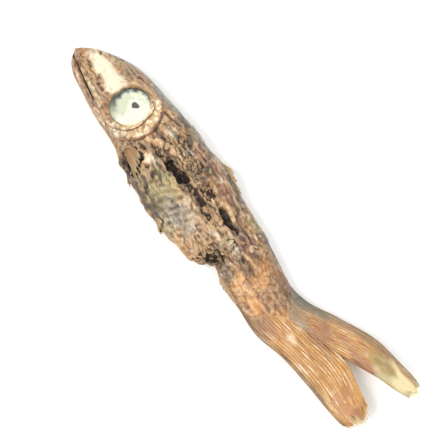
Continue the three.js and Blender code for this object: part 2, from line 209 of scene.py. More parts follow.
# Patches of colour on the flank: x, y, half length, half height, strength.
PATCHES = {
    "cream": [
        (23.2, 3.7, 1.2, 0.45, 0.85), (29.4, 4.9, 1.3, 0.4, 0.75), (26.4, 3.3, 1.2, 0.4, 0.7),
        # The first patch on the next line, on the snout, is pale bone brightened into a painted highlight of
        # the snout's shiny side.
        (5.5, 1.1, 3.5, 1.35, 2.0), (8.9, 0.4, 1.7, 1.3, 1.2), (20.0, 2.9, 1.8, 1.2, 0.8),
        (11.5, -3.13, 1.6, 0.5, 1.0), (21.0, -1.5, 1.7, 0.8, 0.7), (26.2, 1.9, 2.2, 0.7, 0.7),
        (34.5, -0.3, 2.2, 0.9, 0.65), (33.2, -3.9, 1.4, 0.6, 0.4), (37.1, 0.7, 2.4, 0.7, 0.6),
        (20.2, -2.2, 1.0, 0.7, 0.8), (50.8, 0.3, 0.9, 1.6, 1.1),
    ],
    "rust": [
        (1.2, 0.2, 1.5, 1.4, 0.9), (10.2, 4.7, 1.3, 0.9, 1.5), (26.5, 5.0, 3.6, 1.1, 0.9),
        (31.5, 4.1, 3.2, 1.2, 0.9), (38.1, 2.1, 4.2, 0.9, 1.3), (45.1, 3.8, 2.4, 0.9, 1.3),
        (42.0, -2.9, 4.5, 0.5, 0.8), (29.6, 0.6, 2.2, 0.7, 0.8), (23.4, 4.2, 1.4, 0.8, 0.7),
        (6.8, -1.6, 2.2, 0.5, 0.6),
    ],
    "olive": [
        (25.4, -2.9, 2.9, 2.2, 2.1), (5.8, 3.2, 2.2, 0.7, 1.6), (36.1, 4.8, 2.0, 0.9, 0.9),
        (40.5, 0.7, 3.0, 0.6, 0.6), (39.9, -1.7, 2.8, 0.6, 0.7), (30.5, -4.6, 3.0, 0.9, 0.8),
        (50.5, 4.4, 2.6, 1.4, 1.0),
    ],
    "gold": [
        (45.5, 0.9, 4.2, 2.2, 1.35), (44.1, -1.9, 4.2, 1.4, 1.0), (41.1, 2.6, 2.4, 1.2, 0.6),
        (32.0, -1.9, 1.4, 1.8, 0.6), (52.5, -1.1, 3.5, 2.6, 1.2),
    ],
    "silver": [
        (30.4, -2.5, 2.8, 2.4, 1.5), (14.4, 5.6, 3.4, 0.7, 0.9), (22.5, 5.9, 3.4, 0.7, 0.9),
        (29.5, 5.7, 2.6, 0.6, 0.6), (8.8, -1.49, 3.2, 0.6, 0.9), (37.1, 0.4, 4.0, 0.6, 0.95),
        (50.9, 0.9, 1.1, 1.6, 0.9),
    ],
    # Dark patches: painted shadow under the head, along the lower edge of the belly, in the holes and in the
    # vent, and real dark blotches along the back and over the belly panel.
    "shadow_and_blotch": [
        (28.4, -3.0, 4.4, 2.3, 0.62), (21.4, 4.7, 0.9, 0.6, 0.85), (24.6, 5.0, 1.0, 0.45, 0.75),
        (28.0, 4.2, 1.5, 0.45, 0.85), (33.2, 3.8, 1.7, 0.45, 0.8), (30.2, 2.9, 1.0, 0.5, 0.75),
        (24.9, 0.1, 2.7, 0.6, 0.9), (34.9, 2.0, 2.6, 0.5, 0.9), (19.8, -4.1, 3.0, 1.3, 1.2),
        (25.5, -5.2, 4.5, 0.6, 0.8), (37.6, -3.6, 0.8, 1.8, 1.3), (31.0, 0.9, 2.2, 0.6, 0.8),
        (21.8, 4.3, 1.9, 0.5, 0.7), (26.8, 3.9, 1.2, 0.7, 0.8), (8.9, -3.2, 5.5, 0.35, 0.9),
        (46.9, -3.4, 2.0, 0.7, 0.9),
    ],
}

BODY_ROWS, BODY_AROUND = 370, 256  # rings of the body, and points in each
SEED = 41  # of the scattered flakes and crumbs
SKINS = {}  # finished skins by their sizes


# ---- number helpers


def ease(t):
    """Cubic step from 0 to 1 as t goes from 0 to 1."""
    t = np.clip(t, 0.0, 1.0)
    return t * t * (3 - 2 * t)


def smooth_line(points, column=1):
    """The function of x through (x, value) points: a cubic between each two, and at each point
    the slope of the straight line between its neighbours."""
    table = np.array(points, float)
    xs, values = table[:, 0], table[:, column]
    before = np.maximum(np.arange(len(xs)) - 1, 0)
    after = np.minimum(np.arange(len(xs)) + 1, len(xs) - 1)
    slope = (values[after] - values[before]) / (xs[after] - xs[before])

    def value_at(x):
        i = np.clip(np.searchsorted(xs, x, side="left") - 1, 0, len(xs) - 2)
        width = xs[i + 1] - xs[i]
        t = np.clip((x - xs[i]) / width, 0.0, 1.0)
        rise = values[i + 1] - values[i]
        a = width * slope[i] - rise
        b = rise - width * slope[i + 1]
        return values[i] + t * rise + t * (1 - t) * ((1 - t) * a + t * b)

    return value_at


back_at = smooth_line(BACK_LINE)
belly_at = smooth_line(BELLY_LINE)
half_width_at = smooth_line(HALF_WIDTH)
lie_height_at = smooth_line(LIE_HEIGHT)


def hashed(x, y, z, seed):
    """A number from 0 to 1 for each whole-number place, by mixing the bits of its address."""
    n = (x * 374761393 + y * 668265263 + z * 1103515245 + seed * 1274126177) & 0xFFFFFFFF
    n = ((n ^ (n >> 13)) * 1274126177) & 0xFFFFFFFF
    return ((n ^ (n >> 16)) & 0xFFFFFF) / 0xFFFFFF


def noise(p, seed):
    """Smooth chance from -1 to 1: hashed values at the corners of a unit lattice, blended by the
    quintic fade of the place inside the cell."""
    cell = np.floor(p).astype(np.int64)
    t = p - cell
    t = t * t * t * (t * (t * 6 - 15) + 10)
    total = np.zeros(p.shape[:-1])
    for corner in np.ndindex(2, 2, 2):
        weight = np.prod(np.where(np.array(corner) == 1, t, 1 - t), axis=-1)
        x, y, z = (cell[..., k] + corner[k] for k in range(3))
        total += weight * hashed(x, y, z, seed)
    return 2 * total - 1


def layered_noise(p, octaves, seed):
    """Sum of noises, each twice as fine and half as strong as the last."""
    return sum(noise(p * 2**k, seed + k) * 0.5**k for k in range(octaves)) / (2 - 0.5 ** (octaves - 1))


def ridges(p, octaves, seed):
    """Sharp crests from 0 to 1: one less the size of the noise, in octaves."""
    total = sum((1 - np.abs(noise(p * 2**k, seed + k))) * 0.5**k for k in range(octaves))
    return total / (2 - 0.5 ** (octaves - 1))


def cells(p, seed):
    """Distances from p to the nearest and second nearest of one hashed point per unit cell."""
    home = np.floor(p).astype(np.int64)
    first = np.full(p.shape[:-1], 9.0)
    second = first.copy()
    for step in np.ndindex(3, 3, 3):
        cell = home + (np.array(step) - 1)
        address = cell[..., 0], cell[..., 1], cell[..., 2]
        place = np.stack([hashed(*address, seed + k) for k in range(3)], axis=-1)
        gap = np.linalg.norm(cell + place - p, axis=-1)
        second = np.minimum(second, np.maximum(first, gap))
        first = np.minimum(first, gap)
    return first, second


def xyz(x, y, z):
    """Places from their coordinates, which may be arrays or single numbers."""
    return np.stack(np.broadcast_arrays(x, y, z), axis=-1)


def crossed(rows, columns):
    """Both values at every crossing of the rows with the columns."""
    return np.meshgrid(rows, columns, indexing="ij")


def whole_turn(count):
    """Angles of count even steps round the circle."""
    return np.linspace(0, 2 * math.pi, count, endpoint=False)


def bell(gap, width):
    """Bell curve: 1 where the gap is 0, falling to 0 over a few widths."""
    return np.exp(-((gap / width) ** 2))


def oval(x, y, cx, cy, rx, ry):
    """1 at the middle of a soft oval, falling to 0 outside it: the bell curve of the distance."""
    return np.exp(-(((x - cx) / rx) ** 2) - ((y - cy) / ry) ** 2)


def line_gap(x, y, start, end):
    """Distance from (x, y) to the straight line between two points."""
    (ax, ay), (bx, by) = start, end
    length = math.hypot(bx - ax, by - ay)
    t = np.clip(((x - ax) * (bx - ax) + (y - ay) * (by - ay)) / length**2, 0, 1)
    return np.hypot(x - ax - t * (bx - ax), y - ay - t * (by - ay))


def lay_out(p):
    """Bends, twists and lowers straight points on to the table: the section at x turns by the
    twist about the long axis, rises by the lying height, and flattens softly at the table."""
    twist = TAIL_TWIST * ease((p[..., 0] - TWIST_FROM) / (TWIST_TO - TWIST_FROM))
    y = p[..., 1] * np.cos(twist) - p[..., 2] * np.sin(twist)
    z = lie_height_at(p[..., 0]) + p[..., 1] * np.sin(twist) + p[..., 2] * np.cos(twist)
    z = (z + np.sqrt(z * z + LIE_SOFTNESS**2)) / 2 - LIE_SINK
    return xyz(p[..., 0] - ROW_CENTRE[0], y - ROW_CENTRE[1], z)


def unit(v):
    """Vectors of length one."""
    return v / np.maximum(np.linalg.norm(v, axis=-1, keepdims=True), 1e-9)


# ---- mesh helpers


def ring_faces(rings, around, first=0):
    """Faces of a closed skin of rings: triangles to the start and end points, quads between."""
    j = np.arange(around)
    k = (j + 1) % around
    last = 1 + rings * around
    start = np.stack([np.zeros_like(j), 1 + j, 1 + k], axis=1)
    row = 1 + (rings - 1) * around
    end = np.stack([np.full_like(j, last), row + k, row + j], axis=1)
    i = np.arange(rings - 1)[:, None] * around + 1
    quads = np.stack([i + j, i + around + j, i + around + k, i + k], axis=-1).reshape(-1, 4)
    return [*(start + first).tolist(), *(quads + first).tolist(), *(end + first).tolist()]


def shell_faces(rows, columns, first=0):
    """Faces of a thin closed leaf: a front grid, a back grid and the rim between them."""
    i = np.arange(rows - 1)[:, None] * columns
    j = np.arange(columns - 1)
    front = np.stack([i + j, i + j + 1, i + columns + j + 1, i + columns + j], axis=-1).reshape(-1, 4)
    back = front[:, ::-1] + rows * columns
    loop = np.concatenate([
        np.arange(columns),
        np.arange(1, rows) * columns + columns - 1,
        (rows - 1) * columns + np.arange(columns - 2, -1, -1),
        np.arange(rows - 2, 0, -1) * columns,
    ])
    after = np.roll(loop, -1)
    rim = np.stack([after, loop, loop + rows * columns, after + rows * columns], axis=-1)
    return (np.concatenate([front, back, rim]) + first).tolist()


def make_piece(name, slot, points, faces, values):
    """Writes straight points and faces into a mesh, laid out and in metres, with one float
    attribute for each of the values. The piece rides on the fish's body and stands for its
    share of the CAD solid."""
    mesh = bpy.data.meshes.new(name)
    mesh.from_pydata((lay_out(points) * MM).tolist(), [], faces)
    work = bmesh.new()
    work.from_mesh(mesh)
    bmesh.ops.recalc_face_normals(work, faces=work.faces)
    work.to_mesh(mesh)
    work.free()
    mesh.polygons.foreach_set("use_smooth", np.ones(len(mesh.polygons), bool))
    for key, numbers in values.items():
        field = mesh.attributes.new(key, "FLOAT", "POINT")
        field.data.foreach_set("value", np.ascontiguousarray(numbers, dtype=np.float32).ravel())
    mesh.materials.append(material_for(slot))
    mesh.update()
    piece = bpy.data.objects.new(name, mesh)
    bpy.context.scene.collection.objects.link(piece)
    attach(piece, "root")
    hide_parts(NODE)


def make_skin(name, slot, rings, values):
    """A piece with a closed skin from rings (rows, around, 3) and a value per ring point: each
    end point, and its value, is the mean of a ring."""
    start, end = rings[0].mean(axis=0), rings[-1].mean(axis=0)
    points = np.concatenate([start[None], rings.reshape(-1, 3), end[None]])
    values = {
        key: np.concatenate([[field[0].mean()], field.ravel(), [field[-1].mean()]])
        for key, field in values.items()
    }
    make_piece(name, slot, points, ring_faces(*rings.shape[:2]), values)


def tubes(paths, radii, sides, flat):
    """Closed tubes along paths (count, steps, 3) with radii (count, steps): each step's ring is
    the circle across the path's direction, squashed by flat out of the flank."""
    count, steps, _ = paths.shape
    along = unit(np.gradient(paths, axis=1))
    out = np.broadcast_to(np.array([0.0, 0.0, 1.0]), along.shape)
    across = unit(np.cross(out, along))
    up = np.cross(along, across)
    turn = whole_turn(sides)
    ring = (
        across[:, :, None] * np.cos(turn)[None, None, :, None]
        + up[:, :, None] * (flat * np.sin(turn))[None, None, :, None]
    )
    rings = paths[:, :, None] + ring * radii[:, :, None, None]
    points = np.concatenate([paths[:, :1], rings.reshape(count, -1, 3), paths[:, -1:]], axis=1)
    size = points.shape[1]
    faces = [f for k in range(count) for f in ring_faces(steps, sides, k * size)]
    return points.reshape(-1, 3), faces


def per_tube(values, sides):
    """A value per point of tubes, from a value per step (count, steps)."""
    spread = np.repeat(values[:, :, None], sides, axis=2).reshape(len(values), -1)
    return np.concatenate([values[:, :1], spread, values[:, -1:]], axis=1).ravel()


# ---- the fish's skin


def closing_at(x):
    """How far the section is open: 0 at both ends and 1 between, as a quarter circle."""
    nose = np.clip(x / NOSE_ROUND, 0, 1)
    end = np.clip((BODY_LENGTH - x) / END_ROUND, 0, 1)
    return np.sqrt(1 - (1 - nose) ** 2) * np.sqrt(1 - (1 - end) ** 2)


def flank_height(x, y):
    """Half thickness of the smooth fish at x and y: the half width, times the bulge of the
    section, fuller at the back than at the belly."""
    closing = closing_at(x)
    middle = (back_at(x) + belly_at(x)) / 2
    reach = np.maximum(closing * (back_at(x) - belly_at(x)) / 2, 1e-6)
    across = np.clip((y - middle) / reach, -1, 1)
    bulge = np.sqrt(np.maximum(0, 1 - np.abs(across) ** SECTION_POWER))
    return closing * half_width_at(x) * bulge * (1 + BACK_FULLNESS * across)


def right_share(z):
    """0 on the left flank and 1 on the right one, with a soft change across the edges."""
    return ease(0.5 - z / SIDE_CHANGE)


def trunk_shift(x, z):
    """The right flank has the left one's patches a little further back on the trunk."""
    return RIGHT_SHIFT * right_share(z) * ease((x - 18) / 4)


def ragged(x, y, z, spots, seed, fine=0.9, bias=0.42, width=0.28):
    """A patch mask from 0 to 1: soft ovals at bent coordinates, plus layered noise, cut off at a
    level, so that the edges are torn."""
    spot = xyz(x, y, z)
    bent_x = x - trunk_shift(x, z) + 1.1 * noise(spot * 0.7, seed + 3)
    bent_y = y + 0.5 * noise(spot * 0.9, seed + 7)
    stretch = np.array([0.42, 1.25, 1.0])
    total = sum(s * oval(bent_x, bent_y, cx, cy, rx, ry) for cx, cy, rx, ry, s in spots)
    trunk = ease((x - 15) / 4)
    total = total + (0.16 + 0.28 * trunk) * layered_noise(spot * fine * stretch, 4, seed + 11)
    return ease((total - bias) / (width + 0.6 * (1 - trunk)))


def coarse_relief(x, y, z, eye_radius, tear_depth):
    """Height of the large forms on a flank: socket, mouth, brow, furrow, holes and lumps."""
    spot = xyz(x, y, z)
    bent_x = x + 0.8 * noise(spot * 0.9, 5) + 0.3 * noise(spot * 2.1, 6)
    bent_y = y + 0.4 * noise(spot * 1.1, 8) + 0.18 * noise(spot * 2.6, 9)
    around_eye = np.hypot(x - EYE_X, y - EYE_Y)
    height = -SOCKET_DEPTH * bell(around_eye - eye_radius, SOCKET_WIDTH)
    height += 0.16 * bell(around_eye - eye_radius - 0.55, 0.28)
    height -= MOUTH_DEPTH * bell(line_gap(x, y, *MOUTH), MOUTH_WIDTH)
    height += BROW[4] * oval(x, y, *BROW[:4])
    for start, end, width, rise in HEAD_LINES:
        height += rise * bell(line_gap(bent_x, bent_y, start, end), width)
    height -= CHEEK_HOLLOW[4] * oval(x, y, *CHEEK_HOLLOW[:4])
    height -= NOSTRIL[4] * oval(x, y, *NOSTRIL[:4])
    in_furrow = ease((x - FURROW_FROM) / 3) * ease((FURROW_TO - x) / 6)
    bend = 0.25 * np.sin(0.35 * x)
    height -= FURROW_DEPTH * in_furrow * bell(y - FURROW_Y - bend, FURROW_WIDTH)
    torn = layered_noise(spot * np.array([0.8, 1.4, 1.0]), 3, 12)
    right = right_share(z)
    for tears, share in ((LEFT_TEARS, 1 - right), (RIGHT_TEARS, right)):
        for cx, cy, rx, ry, depth in tears:
            level = oval(bent_x, bent_y, cx, cy, rx, ry)
            steep = ease((level - 0.20 + 0.22 * torn) / 0.5) if depth > DEEP else level
            height -= share * depth * tear_depth * steep
    return height


def grid_normals(grid):
    """Outward normals of rings (rows, around, 3), from the cross of both differences."""
    along = np.gradient(grid, axis=0)
    around = np.roll(grid, -1, axis=1) - np.roll(grid, 1, axis=1)
    normal = unit(np.cross(around, along))
    outward = grid - grid.mean(axis=1, keepdims=True)
    return normal * np.sign((normal * outward).sum(axis=-1).mean())


def blurred(grid, reach):
    """Mean of the grid over a square window of cells, wrapping round the section."""
    total = sum(np.roll(grid, k, axis=1) for k in range(-reach, reach + 1))
    rows = len(grid)
    picks = [np.clip(np.arange(rows) + k, 0, rows - 1) for k in range(-reach, reach + 1)]
    return sum(total[pick] for pick in picks) / (2 * reach + 1) ** 2


def skin_grid(size):
    """The body's rings, normals and masks, worked out once for each set of sizes."""
    key = (size.eye_radius, size.tear_depth, size.lump_height, size.peel_depth, size.wrinkle_height)
    if key not in SKINS:
        SKINS[key] = new_skin_grid(size)
    return SKINS[key]


def new_skin_grid(size):
    """The body's rings in straight coordinates, their outward normals and their masks.

    The smooth section is raised by the coarse relief out of the flank, then moved along its
    normal by the fine relief: wrinkles along the fish, chevrons of the muscle, crumbs and
    cracks where the skin is gone, and the step at the skin's torn edge.
    """
    x = BODY_LENGTH * (np.arange(1, BODY_ROWS + 1) / (BODY_ROWS + 1)) ** ROW_SPREAD
    x, angle = crossed(x, whole_turn(BODY_AROUND))
    side = np.where(np.sin(angle) >= 0, 1.0, -1.0)
    across = np.cos(angle)
    middle = (back_at(x) + belly_at(x)) / 2
    reach = (back_at(x) - belly_at(x)) / 2
    y = middle + closing_at(x) * across * reach
    full = flank_height(x, y)
    z = side * full
    edge_wear = EDGE_WEAR * ridges(xyz(x * 0.6, y, z * 0.9), 4, 17)
    belly_wear = ease(-across * 2) * ease((x - LOOSE_FROM) / 4) * BELLY_WEAR + 1
    y = y - closing_at(x) * across * edge_wear * belly_wear
    fade = ease(full / np.maximum(half_width_at(x), 0.1) * 1.6) * closing_at(x)
    coarse = coarse_relief(x, y, z, size.eye_radius / MM, size.tear_depth)
    raised = np.maximum(0.12 * full, full + coarse * fade)
    grid = xyz(x, y, side * raised)

    trunk = ease((x - HEAD_LENGTH + 1.2) / 1.5)
    panel = oval(x - trunk_shift(x, z), y, *BELLY_PANEL)
    membrane = ease(panel * 1.8 - 0.4)
    bare = trunk * ragged(x, y, z, LEFT_BARE, 20) * (1 - right_share(z))
    bare += trunk * ragged(x, y, z, RIGHT_BARE, 30) * right_share(z)
    bare *= 1 - ease(panel * 1.8 - 0.55)

    bend = xyz(*(noise(grid * 0.8, seed) for seed in (40, 41, 42)))
    crumb, crack = cells((grid + 0.6 * bend) * np.array([0.40, 1.35, 1.2]), 50)
    small, small_crack = cells((grid + 0.3 * bend) * np.array([1.0, 2.9, 2.6]), 60)
    fibre = ridges((grid + 0.4 * bend) * np.array([0.30, 1.9, 1.7]), 3, 65) - 0.6
    lumps = 0.40 * (1 - np.minimum(crumb, 1) ** 1.6) + 0.12 * (1 - small) + 1.0 * fibre + 0.12
    lumps -= 0.5 * bell(crack - crumb, 0.12)
    lumps -= 0.12 * bell(small_crack - small, 0.10)
    wrinkle = ridges((grid + 0.5 * bend) * np.array([0.17, 0.95, 0.8]), 3, 70) - 0.62
    ray = np.cos(22 * across + 0.5 * noise(grid, 72)) * ease((x - 43) / 5) * (1 - bare)
    zigzag = np.abs(((y - 0.5) / 1.7) % 2 - 1)
    chevron = np.abs(np.sin(math.pi * (x / 1.25 + 0.9 * zigzag + 0.25 * noise(grid * 0.7, 75))))
    chevron = -bell(chevron, 0.28) * ease((x - 33) / 6) * (1 - ease((x - 47) / 3))
    grain = layered_noise(grid * 2.2, 3, 80)
    rib = np.sin((x - 0.55 * y) * 5.2 + 0.8 * noise(grid, 84)) * ease(panel * 2 - 0.5)
    skin_left = ease((layered_noise(grid * np.array([0.5, 1.0, 1.0]), 4, 88) + 0.05) / 0.10)

    height = size.lump_height / MM * bare * (lumps - 0.45)
    height -= size.peel_depth / MM * bare
    smooth = (1 - 0.75 * membrane) * (1 - 0.68 * ease((x - 37) / 5))
    height += size.wrinkle_height / MM * wrinkle * (0.25 + 0.75 * trunk) * (1 - 0.7 * bare) * smooth
    height += 0.06 * chevron * (1 - bare) * (0.35 + 0.65 * skin_left)
    height += 0.13 * (ridges((grid + 0.3 * bend) * np.array([0.55, 1.3, 1.1]), 4, 77) - 0.62) * (1 - trunk)
    height += 0.04 * grain * (0.5 + 0.5 * trunk) + 0.06 * ray
    height += 0.035 * rib
    height += 0.09 * (skin_left - 0.5) * trunk * (1 - bare)
    normal = grid_normals(grid)
    grid = grid + normal * (height * closing_at(x))[..., None]

    normal = grid_normals(grid)
    # How far each point lies below the mean of its neighbours. The darkness painted into the hollows as
    # shadow, and the painted highlight on the raised crests, both come from this.
    fine_pit = ((blurred(grid, 3) - grid) * normal).sum(axis=-1)
    wide_pit = ((blurred(grid, 10) - grid) * normal).sum(axis=-1)
    dark_and_shadow = np.clip(fine_pit / 0.07, -0.4, 1) * 0.55 + np.clip(wide_pit / 0.32 - 0.25, 0, 1)
    masks = {
        name: ragged(x, y, z, spots, 90 + 7 * n, fine=1.0, bias=0.34, width=0.62)
        for n, (name, spots) in enumerate(PATCHES.items())
    }
    streak = layered_noise((grid + 0.6 * bend) * np.array([0.30, 0.80, 0.7]), 3, 95)
    calm = (0.3 + 0.7 * trunk) * (1 - 0.85 * membrane) * (1 - 0.25 * ease((x - 40) / 4))
    masks["light"] = ease((streak - 0.14 + 0.10 * grain) / 0.16) * calm
    masks["dark"] = ease((-streak - 0.18 + 0.10 * grain) / 0.18) * calm
    # Thin crack lines, painted dark into the same mask with no relief of their own: painted shadow of
    # cracks.
    line = ridges((grid + 0.7 * bend) * np.array([0.22, 1.0, 0.9]), 3, 98)
    fissure = ease((line - 0.80) / 0.07) * calm * ease((x - 16) / 4) * (1 - 0.5 * ease((x - 40) / 5))
    masks["shadow_and_blotch"] = np.maximum(masks["shadow_and_blotch"], 0.85 * fissure)
    masks["back"] = ease((across + 0.10 * grain - 0.66) / 0.22) * ease((x - 1) / 3)
    masks["back"] *= 1 - 0.55 * ease((x - 29) / 5)
    masks["bare"] = bare
    # Painted shadow in the hollows of the relief.
    masks["dark_and_shadow"] = np.clip(dark_and_shadow, 0, 1)
    # Painted highlight on the raised crests of the relief.
    masks["crest_highlight"] = np.clip(-dark_and_shadow * 1.6, 0, 1)
    return grid, normal, masks


# ---- materials


class Look:
    """A new material with one principled shader, and short calls for the nodes before it.
    Its where holds the piece's own coordinates in millimetres."""

    def __init__(self, name):
        self.material = bpy.data.materials.new(name)
        self.material.use_nodes = True
        self.tree = self.material.node_tree
        self.tree.nodes.clear()
        self.shader = self.add("BsdfPrincipled")
        self.add("OutputMaterial", {0: self.shader.outputs[0]})
        self.where = self.scaled(self.add("TexCoord").outputs["Object"], (1 / MM, 1 / MM, 1 / MM))

    def feed(self, node, inputs):
        """Sets a node's inputs to values, or links them from sockets."""
        for key, value in inputs.items():
            if isinstance(value, bpy.types.NodeSocket):
                self.tree.links.new(value, node.inputs[key])
            else:
                node.inputs[key].default_value = value

    def add(self, kind, inputs=None, **settings):
        """A new shader node with its settings and inputs."""
        node = self.tree.nodes.new("ShaderNode" + kind)
        for key, value in settings.items():
            setattr(node, key, value)
        self.feed(node, inputs or {})
        return node

    def scaled(self, where, scale):
        """Coordinates times the scale of each axis."""
        return self.add("Mapping", {"Vector": where, "Scale": scale}).outputs[0]

    def noise(self, where, scale, detail, rough):
        """Noise of so many features in a millimetre."""
        inputs = {"Vector": where, "Scale": scale, "Detail": detail, "Roughness": rough}
        return self.add("TexNoise", inputs).outputs["Fac"]

    def level(self, value, low, high, top=1.0):
        """Goes from 0 to top as the value goes from low to high."""
        inputs = {"Value": value, "From Min": low, "From Max": high, "To Min": 0.0, "To Max": top}
        return self.add("MapRange", inputs, interpolation_type="SMOOTHSTEP").outputs[0]

    def times(self, first, second):
        """Product of two numbers or sockets."""
        return self.add("Math", {0: first, 1: second}, operation="MULTIPLY").outputs[0]

    def plus(self, first, second, clamp=False):
        """Sum of two numbers or sockets."""
        return self.add("Math", {0: first, 1: second}, operation="ADD", use_clamp=clamp).outputs[0]

    def mask(self, name, amount=1.0):
        """One of the piece's own attributes, times an amount."""
        value = self.add("Attribute", attribute_name=name).outputs["Fac"]
        return value if amount == 1.0 else self.times(value, amount)

    def blend(self, factor, low, high):
        """Colour that goes from low to high as the factor goes from 0 to 1."""
        inputs = {0: factor}
        for index, colour in ((6, low), (7, high)):
            linked = isinstance(colour, bpy.types.NodeSocket)
            inputs[index] = colour if linked else (*colour[:3], 1.0)
        return self.add("Mix", inputs, data_type="RGBA").outputs[2]

    def paint(self, colour, *coats):
        """The colour under coats of (factor, colour), each laid over the last."""
        for factor, over in coats:
            colour = self.blend(factor, colour, over)
        return colour

    def finish(self, inputs, bumps=()):
        """Feeds the shader, chains bumps of (height, depth in millimetres) into its normal, and
        gives the material."""
        normal = {}
        for height, depth in bumps:
            bump = self.add("Bump", {"Height": height, "Distance": depth * MM, "Strength": 1.0, **normal})
            normal = {"Normal": bump.outputs[0]}
        self.feed(self.shader, {**inputs, **normal})
        return self.material


def coat(weight, rough):
    """Shader values of a clear coat."""
    return {"Coat Weight": weight, "Coat Roughness": rough}


def depth_light(weight, radius, scale):
    """Shader values of the light that enters the surface; the scale is in millimetres."""
    return {"Subsurface Weight": weight, "Subsurface Radius": radius, "Subsurface Scale": scale * MM}


def skin_material(colours):
    """Dried skin and flesh: streaked brown, with the patches of the piece's masks over it."""
    look = Look("skin_look")
    long_tone = look.noise(look.scaled(look.where, (0.35, 1.3, 1.3)), 0.9, 6.0, 0.6)
    spot_tone = look.noise(look.where, 1.7, 6.0, 0.65)
    fine_tone = look.noise(look.where, 6.0, 4.0, 0.6)
    specks = look.add("TexVoronoi", {"Vector": look.where, "Scale": 2.6, "Randomness": 1.0})
    speck = look.level(specks.outputs["Distance"], 0.30, 0.18)
    speck = look.times(speck, look.level(spot_tone, 0.42, 0.55))
    back = look.blend(look.level(spot_tone, 0.4, 0.62), colours.back, colours.slate)
    amber = look.blend(look.level(long_tone, 0.52, 0.72), colours.gold, colours.tan)
    flesh = look.blend(look.level(spot_tone, 0.38, 0.62), colours.bark, colours.crumb)
    pale = look.blend(look.level(spot_tone, 0.52, 0.72), colours.tan, colours.cream)
    colour = look.paint(
        colours.bark,
        (look.level(long_tone, 0.30, 0.58), colours.flesh),
        (look.level(spot_tone, 0.50, 0.68, 0.8), colours.tan),
        # The specks on the back are real dark pigment, in the same dark brown as the painted shadow.
        (look.mask("back"), look.blend(speck, back, colours.dark_and_shadow)),
        (look.mask("gold", 0.9), look.blend(look.level(long_tone, 0.30, 0.50), colours.rust, amber)),
        (look.mask("rust", 0.8), colours.rust),
        (look.mask("olive", 0.85), colours.olive),
        (look.mask("silver", 0.65), colours.silver),
        (look.mask("cream", 0.95), colours.cream),
        (look.mask("bare", 0.5), flesh),
        (look.mask("dark", 0.72), colours.bark),
        (look.mask("light", 0.55), pale),
        (look.level(fine_tone, 0.58, 0.72, 0.55), colours.bark),
        (look.level(fine_tone, 0.42, 0.28, 0.25), colours.cream),
        # Painted highlight on the raised crests.
        (look.mask("crest_highlight", 0.45), colours.cream),
        # Painted shadow under the head, along the belly's edge, in the holes and the vent, and real dark
        # blotches on the back.
        (look.mask("shadow_and_blotch", 0.8), colours.dark_and_shadow),
        # Painted shadow in the hollows of the relief.
        (look.mask("dark_and_shadow"), colours.dark_and_shadow),
    )
    rough = look.plus(look.level(spot_tone, 0.3, 0.75, 0.32), 0.25)
    rough = look.plus(rough, look.mask("dark_and_shadow", 0.35))
    rough = look.plus(rough, look.mask("bare", 0.15), clamp=True)
    rough = look.plus(rough, look.mask("silver", -0.12))
    surface = {"Base Color": colour, "Roughness": rough, "Metallic": look.mask("silver", 0.35)}
    surface |= coat(0.22, 0.3) | depth_light(0.12, (1.0, 0.5, 0.25), 0.6)
    return look.finish(surface, [(spot_tone, 0.22), (fine_tone, 0.07)])


def plate_material(colours):
    """Thin head bones: cream, with grey lines and a brown rear edge."""
    look = Look("plate_look")
    spot_tone = look.noise(look.where, 1.5, 6.0, 0.65)
    fine_tone = look.noise(look.where, 5.0, 4.0, 0.6)
    stain = look.blend(look.level(spot_tone, 0.42, 0.6), colours.bark, colours.flesh)
    colour = look.paint(
        colours.tan,
        (look.level(spot_tone, 0.42, 0.66), colours.cream),
        (look.times(look.mask("groove"), look.level(spot_tone, 0.70, 0.40)), colours.slate),
        (look.mask("rim"), look.blend(look.level(fine_tone, 0.5, 0.7), stain, colours.rust)),
        (look.level(fine_tone, 0.56, 0.72, 0.6), colours.bark),
    )
    surface = {"Base Color": colour, "Roughness": look.plus(look.level(spot_tone, 0.3, 0.7, 0.25), 0.3)}
    surface |= coat(0.35, 0.22) | depth_light(0.15, (1.0, 0.6, 0.35), 0.5)
    return look.finish(surface, [(spot_tone, 0.10), (fine_tone, 0.05)])


def eye_material(colours):
    """A clouded eye: dark pupil, pale lens ring and mint iris by distance, and a dark rim deepened on its
    upper front side by a painted shadow of the socket.
    """
    look = Look("eye_look")
    cloud = look.noise(look.where, 1.3, 5.0, 0.6)
    fine_tone = look.noise(look.where, 5.0, 4.0, 0.6)
    ring = look.plus(look.plus(look.mask("ring"), look.level(cloud, 0.2, 0.8, 0.22)), -0.11)
    milk = look.level(look.plus(look.mask("milk"), look.level(cloud, 0.3, 0.7, 0.7)), 0.65, 1.25)
    colour = look.paint(
        colours.pupil,
        (look.level(ring, 0.10, 0.24), colours.lens),
        (look.level(ring, 0.26, 0.42, 0.9), colours.iris),
        (look.times(milk, look.level(ring, 0.14, 0.3)), colours.lens),
        (look.level(fine_tone, 0.56, 0.70, 0.5), colours.slate),
        # Dark rim, deepened on the upper front side by a painted shadow of the socket.
        (look.times(look.level(ring, 0.68, 0.88), look.mask("rim_and_socket_shadow")), colours.eye_rim_and_shadow),
    )
    surface = {"Base Color": colour, "Roughness": 0.22} | coat(0.9, 0.06)
    return look.finish(surface, [(cloud, 0.10), (fine_tone, 0.03)])


